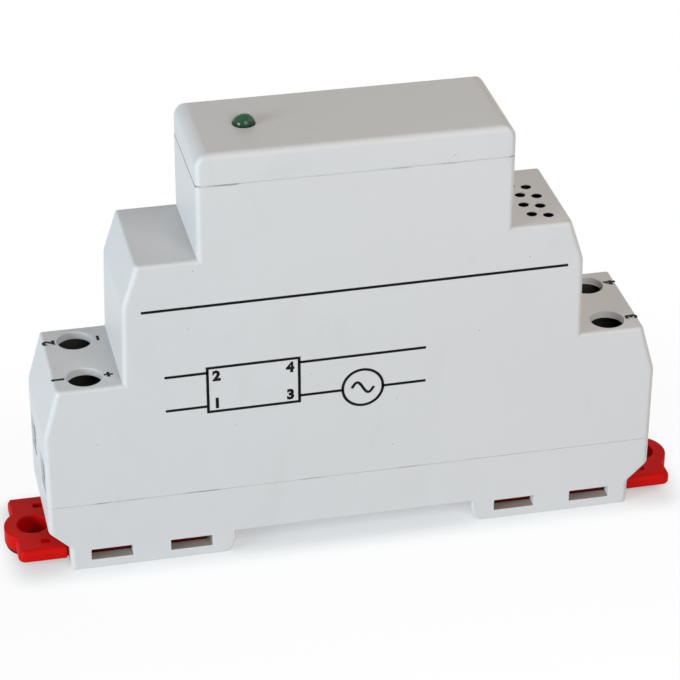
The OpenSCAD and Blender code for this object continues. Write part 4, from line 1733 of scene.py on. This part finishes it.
@dataclass
class RailClip:
    """Red clip that slides in a foot and hooks under the rail."""

    end: End
    step_x: float = 42.4
    neck_half: float = 6.6
    painted_shade_x: float = 39.3
    tab_x: float = 49.4
    corners: Pair = (1.2, 0.3)
    plate_z: float = 1.1
    lobe_x: float = 46.5
    lobe_r: float = 4.2
    lobe_x0: float = 43.1
    soft: float = 0.22
    front_soft: Pair = (0.35, 0.8)
    end_soft: float = 0.35
    hole_r: float = 2.3
    hole_rim: float = 0.14
    hole_draft: float = 0.25
    hole_sides: int = 48
    plate_x0: float = 22.0
    hook_x: float = 16.4
    hook_half: float = 4.2
    hook_step_x: float = 18.4
    hook_t: float = 1.15
    hook_lead: Pair = (1.1, 0.75)
    dent: Trio = (1.5, 1.2, 0.5)
    dent_at: Pair = (45.15, 4.7)
    dent_draft: float = 0.12
    stop_x: float = 33.05
    stop_r: float = 1.6
    travel: float = 5.0
    slit_half: float = 0.4
    slit_corner: float = 0.36
    slit_y: float = 4.6
    slit_x: Pair = (24.0, 40.1)

    def __post_init__(self) -> None:
        """Takes the clip's width and heights from the CAD node."""
        self.key = self.end.name.lower()
        low, high = box_mm("rail_clip_" + self.key)
        self.half_w, self.low_z, self.top_z = high.y, low.z, high.z

    def build(self) -> list[Piece]:
        """Builds the clip.

        Returns:
            The finished clip on its own body.
        """
        clip = Workpiece(f"clip_{self.key}_moulding", self._neck())
        clip.add(self._tab(), self._pull(), self._hook())
        clip.cut(self._hole(), *self._dents(), *self._slots())
        if self.end is End.LEFT:
            clip.mirror_ends()
        # The sides seen through the windows get a dark red copy of the clip's colour as painted
        # shade.
        clip.line(PAINTED_SHADE_CLIP, self._is_behind_window)
        return [clip.publish("clip_" + self.key, RED_CLIP, "rail_clip_" + self.key, "clip")]

    def _is_behind_window(self, middle: Vector) -> bool:
        """Whether a face with this middle, in millimetres, is a side that the windows show, which
        gets painted shade.
        """
        return abs(middle.x) < self.painted_shade_x and abs(middle.y) > self.neck_half - self.soft

    def _neck(self) -> Shape:
        """Shapes the part of the plate that slides in the foot.

        Returns:
            The neck.
        """
        # The outline has a corner where the painted shade ends, so that the sides split there.
        steps = (self.plate_x0, self.painted_shade_x, self.step_x + SINK)
        front = [(x, -self.neck_half) for x in steps]
        back = [(x, self.neck_half) for x in reversed(steps)]
        return soft_prism(front + back, self.plate_z, self.top_z, self.soft)

    def _tab(self) -> Shape:
        """Shapes the wide end of the plate, which stays outside the foot.

        Returns:
            The tab, whose front edges are the most rounded.
        """

        def plan_at(depth: float) -> list[Pair]:
            """Draws the tab's outline, moved in at its edges.

            Args:
                depth: How far its front is moved in. Its outer end and its back move less.

            Returns:
                The outline, anticlockwise.
            """
            back_depth = min(depth, self.soft)
            front_r, back_r = self.corners[0] - depth, self.corners[1] - back_depth
            outer = self.tab_x - min(depth, self.end_soft)
            front, back = depth - self.half_w, self.half_w - back_depth
            return [
                (self.step_x, back),
                (self.step_x, front),
                *arc((outer - front_r, front + front_r), front_r, -90, 0),
                *arc((outer - back_r, back - back_r), back_r, 0, 90),
            ]

        return round_ended(plan_at, self.plate_z, self.top_z, self.front_soft)

    def _pull(self) -> Shape:
        """Shapes the rounded pull round the hole.

        Returns:
            The pull, which is deeper than the plate.
        """
        turn = math.degrees(math.acos((self.lobe_x0 - self.lobe_x) / self.lobe_r))
        plan = arc((self.lobe_x, 0.0), self.lobe_r, -turn, turn, self.hole_sides)
        return soft_prism(plan, self.low_z, self.top_z, self.soft)

    def _hole(self) -> Shape:
        """Shapes the panel hole, which narrows downwards as a moulded hole does.

        Returns:
            The hole's cutter.
        """
        foot_r, mouth_r = self.hole_r - self.hole_draft, self.hole_r + self.hole_rim
        profile = [
            (self.low_z - OVERRUN, foot_r),
            (self.low_z, foot_r),
            *((self.top_z - down, self.hole_r + out) for out, down in quarter_round(self.hole_rim)),
            (self.top_z + OVERRUN, mouth_r),
        ]
        return loft([(z, ring((self.lobe_x, 0.0), r, self.hole_sides)) for z, r in profile])

    def _hook(self) -> Shape:
        """Shapes the hook that goes under the rail's flange.

        Returns:
            The hook.
        """
        lead_x, lead_z = self.hook_lead
        root = self.plate_x0 + 2 * self.soft
        hook_top = self.plate_z + self.hook_t
        outline = [
            (root, self.plate_z),
            (root, self.top_z),
            (self.hook_step_x, self.top_z),
            (self.hook_step_x, hook_top),
            (self.hook_x, hook_top),
            (self.hook_x, self.plate_z + lead_z),
            (self.hook_x + lead_x, self.plate_z),
        ]
        return soft_prism(outline, -self.hook_half, self.hook_half, self.soft / 2, Axis.Y)

    def _dents(self) -> list[Shape]:
        """Shapes the two small dents that a screwdriver catches in.

        Returns:
            One cutter for each dent.
        """
        length, width, depth = self.dent
        forms = []
        for side in (-1, 1):
            centre = (self.dent_at[0], side * self.dent_at[1])
            mouth = rounded_plan(length / 2, width / 2, self.soft, centre)
            floor = moved_in(mouth, self.dent_draft)
            top = self.top_z
            forms.append(loft([(top - depth, floor), (top, mouth), (top + OVERRUN, mouth)]))
        return forms

    def _slots(self) -> list[Shape]:
        """Shapes the slot that the stop pin runs in and the slits at its two sides.

        Returns:
            Three cutters.
        """
        plans = [[
            *arc((self.stop_x, 0.0), self.stop_r, -90, 90),
            *arc((self.stop_x - self.travel, 0.0), self.stop_r, 90, 270),
        ]]
        middle, half = sum(self.slit_x) / 2, (self.slit_x[1] - self.slit_x[0]) / 2
        for side in (-1, 1):
            centre = (middle, side * self.slit_y)
            plans.append(rounded_plan(half, self.slit_half, self.slit_corner, centre))
        return [prism(plan, self.low_z - OVERRUN, self.top_z + OVERRUN) for plan in plans]


@dataclass
class Clamp:
    """Screw and clamp cage of one terminal."""

    terminal: Terminal
    crown: float = 0.25
    slot: Pair = (0.7, 0.9)
    core_r: float = 1.02
    head_h: float = 1.8
    thread_pitch: float = 0.45
    thread_depth: float = 0.2
    sheet: float = 0.6
    floor_t: float = 1.0
    top_t: float = 1.2
    outer_r: float = 0.45
    inner_r: float = 0.2
    bore_r: float = 1.55
    bore_sides: int = 40
    edge: float = 0.08

    def build(self) -> list[Piece]:
        """The finished screw and cage, each on its own body."""
        return [self._screw(), self._cage()]

    def _screw(self) -> Piece:
        """Makes the screw from its recipe.

        Returns:
            The finished screw.
        """
        node = "screw_" + self.terminal.key
        low, high = box_mm(node)
        middle, seat = (low + high) / 2, high.z - self.head_h
        lengths = {
            "Head Radius": (high.x - low.x) / 2, "Head Height": self.head_h,
            "Crown": self.crown, "Slot Width": self.slot[0], "Slot Depth": self.slot[1],
            "Core Radius": self.core_r, "Core Length": seat - low.z,
            "Thread Pitch": self.thread_pitch, "Thread Depth": self.thread_depth,
        }
        place = {"Seat": Vector((middle.x, middle.y, seat)) * MM}
        mesh = SCREW.mesh(node + "_plated", ZINC, lengths, place)
        return Workpiece(node + "_plated", mesh).publish(node, ZINC, node, "steel")

    def _cage(self) -> Piece:
        """Builds the bent cage that lifts the wire.

        Returns:
            The finished cage.
        """
        node = "cage_" + self.terminal.key
        low, high = box_mm(node)
        middle, half = (low + high) / 2, (high - low) / 2
        outer = rounded_plan(half.y, half.z, self.outer_r, (middle.y, middle.z))
        window = rounded_plan(
            half.y - self.sheet,
            half.z - (self.floor_t + self.top_t) / 2,
            self.inner_r,
            (middle.y, middle.z + (self.floor_t - self.top_t) / 2),
        )
        bore = ring((middle.x, middle.y), self.bore_r, self.bore_sides)
        cage = Workpiece(node + "_sheet", soft_prism(outer, low.x, high.x, self.edge, Axis.X))
        cage.cut(
            flared(window, low.x, high.x, (self.edge, self.edge), Axis.X),
            flared(bore, high.z - self.top_t, high.z, (0.0, self.edge)),
        )
        return cage.publish(node, ZINC, node, "steel")


@dataclass
class StatusLamp:
    """Green lamp whose squat dome stands through the cap."""

    dome_r: float = 1.52
    dome_turn: float = 88.0
    dome_steps: int = 14
    flange_h: float = 0.9
    sides: int = 48

    def build(self) -> list[Piece]:
        """Builds the dome and its flange.

        Returns:
            The finished lamp on the housing body.
        """
        low, high = box_mm("status_lamp")
        middle = ((low.x + high.x) / 2, (low.y + high.y) / 2)
        flange_r, flange_z = (high.x - low.x) / 2, low.z + self.flange_h
        cap_z = box_mm("top_cap")[1].z
        profile = [(flange_r, low.z), (flange_r, flange_z), (self.dome_r, flange_z)]
        for i in range(self.dome_steps + 1):
            turn = math.radians(self.dome_turn * i / self.dome_steps)
            height = cap_z + (high.z - cap_z) * math.sin(turn)
            profile.append((self.dome_r * math.cos(turn), height))
        dome = Workpiece("lamp_dome", loft([(z, ring(middle, r, self.sides)) for r, z in profile]))
        return [dome.publish("housing", GREEN_LENS, "status_lamp", "lamp")]


class PrintSheet:
    """Thin ink marks on one face, gathered into one mesh."""

    def __init__(self, name: str, place: Matrix, thickness: float, sink: float) -> None:
        """Starts an empty sheet.

        Args:
            name: Name of the finished piece.
            place: Turns sheet coordinates, X right and Y up, into the frame, in millimetres.
            thickness: How far the ink stands out of the face.
            sink: How far it goes into the face.
        """
        self.name = name
        self.place = Matrix.Scale(MM, 4) @ place
        self.thickness = thickness
        self.sink = sink
        self.draft = bmesh.new()

    def stroke(self, start: Pair, stop: Pair, width: float) -> None:
        """Draws a straight line with square ends.

        Args:
            start: Where the line starts.
            stop: Where it ends.
            width: Its width, half of which it runs out past each end.
        """
        along = (Vector(stop) - Vector(start)).normalized() * width / 2
        across = Vector((-along.y, along.x))
        line = [Vector(start) - along, Vector(stop) + along]
        self._band([spot + across for spot in line], [spot - across for spot in line])

    def outline(self, plan: Sequence[Pair], width: float) -> None:
        """Draws a closed outline, given anticlockwise, with a line of the given width."""
        self._band(moved_in(plan, width / 2), moved_in(plan, -width / 2), closed=True)

    def wave(self, centre: Pair, reach: float, rise: float, width: float) -> None:
        """Draws one full sine wave, the sign of an alternating supply.

        Args:
            centre: The wave's middle.
            reach: Half its length.
            rise: Its height over the middle.
            width: Width of the line.
        """
        left, right = [], []
        for i in range(WAVE_STEPS + 1):
            turn = 2 * math.pi * i / WAVE_STEPS
            x, y = reach * (turn / math.pi - 1), rise * math.sin(turn)
            spot = Vector((centre[0] + x, centre[1] + y))
            along = Vector((reach / math.pi, rise * math.cos(turn))).normalized() * width / 2
            across = Vector((-along.y, along.x))
            left.append(spot + across)
            right.append(spot - across)
        self._band(left, right)

    def glyphs(self, words: str, centre: Pair, height: float) -> None:
        """Sets plain numbers about a centre.

        Args:
            words: The characters.
            centre: Their middle on the sheet.
            height: Height of a capital, which is that of a number.
        """
        text = bpy.data.curves.new("glyphs", "FONT")
        text.body = words
        text.align_x = "CENTER"
        text.size = height / CAPITAL
        text.offset = GLYPH_WEIGHT * height
        text.extrude = (self.thickness + self.sink) / 2
        text.resolution_u = GLYPH_STEPS
        host = in_scene("glyphs", text)
        solid = evaluated_mesh(host)
        bpy.data.objects.remove(host)
        bpy.data.curves.remove(text)
        ups = [vertex.co.y for vertex in solid.vertices]
        middle = (self.thickness - self.sink) / 2
        shift = Vector((centre[0], centre[1] - (min(ups) + max(ups)) / 2, middle))
        solid.transform(self.place @ Matrix.Translation(shift))
        self.draft.from_mesh(solid)
        bpy.data.meshes.remove(solid)

    def publish(self, body: str) -> Piece:
        """Closes the marks and hands them to their body.

        Args:
            body: The CAD body that they move with.

        Returns:
            The finished piece.
        """
        bmesh.ops.remove_doubles(self.draft, verts=self.draft.verts, dist=WELD * MM)
        bmesh.ops.recalc_face_normals(self.draft, faces=self.draft.faces)
        mesh = bpy.data.meshes.new(self.name)
        self.draft.to_mesh(mesh)
        self.draft.free()
        mesh.materials.append(BLACK_INK.material())
        obj = in_scene(self.name, mesh)
        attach(obj, body)
        return obj

    def _band(self, left: Sequence[Pair], right: Sequence[Pair], closed: bool = False) -> None:
        """Lays a thin closed strip of ink between two lines.

        Args:
            left: The line along its left edge.
            right: The line along its right edge, point for point.
            closed: Whether the strip runs round into itself.
        """
        upper, lower = self.thickness, -self.sink
        rails = [
            [self.draft.verts.new(self.place @ Vector((*spot, height))) for spot in line]
            for line, height in ((left, upper), (right, upper), (right, lower), (left, lower))
        ]
        count = len(left)
        for i in range(count if closed else count - 1):
            j = (i + 1) % count
            for first, second in zip(rails, rails[1:] + rails[:1]):
                self.draft.faces.new((first[i], first[j], second[j], second[i]))
        if not closed:
            for end in (0, -1):
                self.draft.faces.new([rail[end] for rail in rails])


@dataclass
class Print:
    """Generic marks: a rule, a wiring diagram with plain numbers and the terminals' numbers."""

    thickness: float = 0.012
    sink: float = 0.02
    line: float = 0.42
    rule_x: Pair = (-30.3, 30.7)
    rule_z: float = 41.7
    box_x: Pair = (-21.5, -8.3)
    box_z: Pair = (24.4, 31.6)
    lead_z: Pair = (25.35, 30.85)
    lead_x: Pair = (-27.4, 10.0)
    load: Pair = (0.95, 25.45)
    load_r: float = 2.95
    load_sides: int = 64
    wave_shares: Pair = (0.55, 0.3)
    digit: float = 1.5
    digit_inset: Pair = (1.3, 1.35)
    tilt: float = 0.45
    tilt_at: Pair = (-8.0, 33.0)
    shelf_digit: float = 1.6
    number_shift: Pair = (-3.75, 3.65)
    sign_reach: float = 0.45
    sign_shift: float = 3.4

    def build(self) -> list[Piece]:
        """The finished print of the front and of the two shelves."""
        return [self._front(), self._shelves()]

    def _front(self) -> Piece:
        """Prints the rule and the wiring diagram on the front.

        Returns:
            The finished print on the housing body.
        """
        face_y = box_mm("main_housing")[0].y
        upright = Matrix.Translation((0.0, face_y, 0.0)) @ Matrix.Rotation(math.pi / 2, 4, "X")
        pivot = Matrix.Translation((*self.tilt_at, 0.0))
        tilt = pivot @ Matrix.Rotation(math.radians(self.tilt), 4, "Z") @ pivot.inverted()
        sheet = PrintSheet("front_print", upright @ tilt, self.thickness, self.sink)
        sheet.stroke((self.rule_x[0], self.rule_z), (self.rule_x[1], self.rule_z), self.line)
        (x0, x1), (z0, z1) = self.box_x, self.box_z
        sheet.outline([(x0, z0), (x1, z0), (x1, z1), (x0, z1)], self.line)
        near, far = self.lead_x
        low, high = self.lead_z
        load_x, load_r = self.load[0], self.load_r
        leads = (
            (near, x0, low), (near, x0, high), (x1, far, high),
            (x1, load_x - load_r, low), (load_x + load_r, far, low),
        )
        for start, stop, z in leads:
            sheet.stroke((start, z), (stop, z), self.line)
        sheet.outline(ring(self.load, load_r, self.load_sides), self.line)
        reach, rise = (load_r * share for share in self.wave_shares)
        sheet.wave(self.load, reach, rise, self.line)
        for terminal in Terminal:
            x = terminal.by_end(self.box_x) - terminal.end * self.digit_inset[0]
            z = terminal.by_side(self.box_z) - terminal.side * self.digit_inset[1]
            sheet.glyphs(terminal.number, (x, z), self.digit)
        return sheet.publish("housing")

    def _shelves(self) -> Piece:
        """Prints a number beside each well, and the signs at the input end.

        Returns:
            The finished print on the housing body.
        """
        turn = Matrix.Rotation(math.pi / 2, 4, "Z")
        place = Matrix.Translation((0.0, 0.0, Housing.shelf_z)) @ turn
        sheet = PrintSheet("shelf_print", place, self.thickness, self.sink)
        for terminal in Terminal:
            spot = terminal.middle
            beside = -(spot.x + terminal.by_end(self.number_shift))
            sheet.glyphs(terminal.number, (spot.y, beside), self.shelf_digit)
            if terminal.sign is Sign.NONE:
                continue
            x, y, reach = spot.y, -(spot.x + self.sign_shift), self.sign_reach
            sheet.stroke((x - reach, y), (x + reach, y), self.line)
            if terminal.sign is Sign.PLUS:
                for way in (-1, 1):
                    sheet.stroke((x, y + way * self.line), (x, y + way * reach), self.line)
        return sheet.publish("housing")


class Works:
    """The pieces inside the housing, which keep their CAD shapes and get finishes."""

    FINISHES: Mapping[str, Finish] = {
        "circuit_board": GREEN_RESIST,
        "heat_sink": MILL_ALLOY,
        "power_triac": CAST_EPOXY,
        "thermal_pad": SOFT_PAD,
        "triac_screw": ZINC,
        "optocoupler": CAST_EPOXY,
        "varistor": BLUE_DIP,
        "snubber_capacitor": YELLOW_BOX,
        "resistors": BANDED_LACQUER,
        "input_diode": BANDED_EPOXY,
        "lamp_leads": ZINC,
        **{"tab_" + terminal.key: TINNED_BRASS for terminal in Terminal},
    }

    def build(self) -> list[Piece]:
        """Gives each inner node its finish.

        Returns:
            The dressed nodes.
        """
        nodes = [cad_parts[name] for name in self.FINISHES]
        for node, finish in zip(nodes, self.FINISHES.values()):
            node.data.materials.clear()
            node.data.materials.append(finish.material())
        return nodes


@dataclass(frozen=True)
class Lamp:
    """A soft square studio light that faces the object, with its sizes in metres.

    Its angles are its azimuth, from the front towards the right, and its elevation, in degrees.
    """

    name: str
    angles: Pair
    colour: Colour
    distance: float
    side: float
    power: float

    def build(self, aim: Vector) -> None:
        """Hangs the light.

        Args:
            aim: The point that it faces, in metres.
        """
        light = bpy.data.lights.new(self.name, "AREA")
        light.shape = "SQUARE"
        light.size = self.side
        light.energy = self.power
        light.color = self.colour
        turn, lift = (math.radians(angle) for angle in self.angles)
        out = math.cos(lift)
        way = Vector((math.sin(turn) * out, -math.cos(turn) * out, math.sin(lift)))
        obj = in_scene(self.name, light)
        obj.location = aim + way * self.distance
        obj.rotation_euler = way.to_track_quat("Z", "Y").to_euler()


@dataclass
class Studio:
    """Plain white floor and surroundings, soft lights and the camera.

    Lengths are in metres, apart from the camera's place and its sensor.
    """

    floor_half: float = 3.0
    floor_gap: float = 0.00004
    floor_albedo: Colour = (0.81, 0.87, 0.92)
    white: Colour = (1.0, 1.0, 1.0)
    ambient: float = 0.15
    ambient_tint: Colour = (0.94, 0.98, 1.0)
    footprint: Pair = (0.047, 0.0075)
    shade_reach: float = 0.006
    shade_low: float = 0.4
    shade_white: float = 0.94
    white_reach: Pair = (0.01, 0.05)
    clip_hole: Pair = (0.0465, 0.004)
    clip_glow: Colour = (0.4, 0.02, 0.015)
    camera_at: Trio = (-75.710, -330.655, 227.281)
    yaw: float = 12.834
    pitch: float = 30.376
    roll: float = 0.286
    focal_px: float = 2707.68
    sensor: float = 36.0
    aim: Trio = (0.0, 0.0, 0.03)
    lamps: tuple[Lamp, ...] = (
        Lamp("key", (14.0, 34.0), (1.0, 0.975, 0.94), distance=0.5, side=0.3, power=1.14),
        Lamp("left_fill", (-67.0, 11.0), (0.85, 0.95, 1.0), distance=0.9, side=0.4, power=6.2),
        Lamp("right_fill", (80.0, 44.0), (1.0, 0.74, 0.44), distance=0.3, side=0.18, power=0.13),
        Lamp("back_fill", (180.0, 12.0), (1.0, 0.97, 0.92), distance=1.0, side=0.7, power=1.6),
    )

    def build(self) -> None:
        """Sets up the room, the lights and the camera."""
        bpy.context.scene.view_settings.view_transform = "Standard"
        self._world()
        self._floor()
        for lamp in self.lamps:
            lamp.build(Vector(self.aim))
        self._camera()

    @staticmethod
    def _seen(graph: Graph) -> Wire:
        """Picks the rays that show the background itself.

        Args:
            graph: The tree of the floor or of the world.

        Returns:
            1 for rays from the camera, in gloss and through glass, and 0 for others.
        """
        camera = graph.node("ShaderNodeLightPath", output="Is Camera Ray")
        gloss = camera.math("MAXIMUM", camera.other("Is Glossy Ray"))
        return gloss.math("MAXIMUM", camera.other("Is Transmission Ray"))

    def _world(self) -> None:
        """Makes surroundings that look white and light the object softly."""
        world = bpy.data.worlds.new("studio")
        bpy.context.scene.world = world
        graph = Graph.fresh(world)
        seen = self._seen(graph)
        tint = graph.mix(seen, self.ambient_tint, self.white)
        strength = self.ambient + seen * (1 - self.ambient)
        sky = graph.node("ShaderNodeBackground", None, {"Color": tint, "Strength": strength})
        graph.node("ShaderNodeOutputWorld", None, {"Surface": sky})

    def _floor(self) -> None:
        """Lays a pale floor that keeps a soft shadow, with painted red bounce light under each
        clip's hole.
        """
        half, low = self.floor_half, -self.floor_gap
        corners = [(-half, -half, low), (half, -half, low), (half, half, low), (-half, half, low)]
        mesh = bpy.data.meshes.new("floor")
        mesh.from_pydata(corners, [], [range(len(corners))])
        material = bpy.data.materials.new("pale_floor")
        graph = Graph.fresh(material)
        white = graph.node("ShaderNodeEmission", None, {"Color": self.white, "Strength": 1.0})
        x = graph.split(graph.node("ShaderNodeTexCoord", output="Object"))
        out_x, y = x.math("ABSOLUTE"), x.other("Y")
        gap_x = (out_x - self.footprint[0]).math("MAXIMUM", 0.0)
        gap_y = (y.math("ABSOLUTE") - self.footprint[1]).math("MAXIMUM", 0.0)
        gap = (gap_x * gap_x + gap_y * gap_y).math("SQRT")
        fade = gap.ramp(0.0, self.shade_reach) * (self.shade_white - self.shade_low)
        clear = gap.ramp(*self.white_reach) * (1 - self.shade_white)
        # Painted red bounce light: the ground under a clip's hole is tinted with the red of the
        # walls round it.
        hole_x, hole_r = self.clip_hole
        off_x = out_x - hole_x
        clear_of_painted_bounce = (off_x * off_x + y * y).math("SQRT").over(hole_r)
        tint = graph.mix(clear_of_painted_bounce, self.clip_glow, self.floor_albedo)
        matt = graph.node("ShaderNodeBsdfDiffuse", None, {"Color": tint})
        share = self._seen(graph) * (self.shade_low + fade + clear) * clear_of_painted_bounce
        surface = graph.node("ShaderNodeMixShader", None, {0: share, 1: matt, 2: white})
        graph.node("ShaderNodeOutputMaterial", None, {"Surface": surface})
        mesh.materials.append(material)
        in_scene("floor", mesh)

    def _camera(self) -> None:
        """Puts the camera at the photograph's place and angle."""
        camera = bpy.data.cameras.new("camera")
        camera.sensor_width = self.sensor
        camera.lens = self.sensor * self.focal_px / IMAGE_SIDE
        turn = Matrix.Rotation(math.radians(-self.yaw), 4, "Z")
        tilt = Matrix.Rotation(math.radians(90 - self.pitch), 4, "X")
        roll = Matrix.Rotation(math.radians(self.roll), 4, "Z")
        obj = in_scene("camera", camera)
        obj.matrix_world = Matrix.Translation(Vector(self.camera_at) * MM) @ turn @ tilt @ roll
        bpy.context.scene.camera = obj


def main() -> None:
    """Sets up the studio, builds the relay's sub-assemblies in order and reports each piece."""
    logging.basicConfig(level=logging.INFO, format="%(name)s %(message)s")
    Studio().build()
    clips = [RailClip(end) for end in End]
    clamps = [Clamp(terminal) for terminal in Terminal]
    for assembly in (Base(), Housing(), Cap(), StatusLamp(), *clips, *clamps, Print(), Works()):
        for piece in assembly.build():
            finish = piece.data.materials[0].name
            LOG.info("%s: %d faces in %s", piece.name, len(piece.data.polygons), finish)


if __name__ == "__main__":
    main()
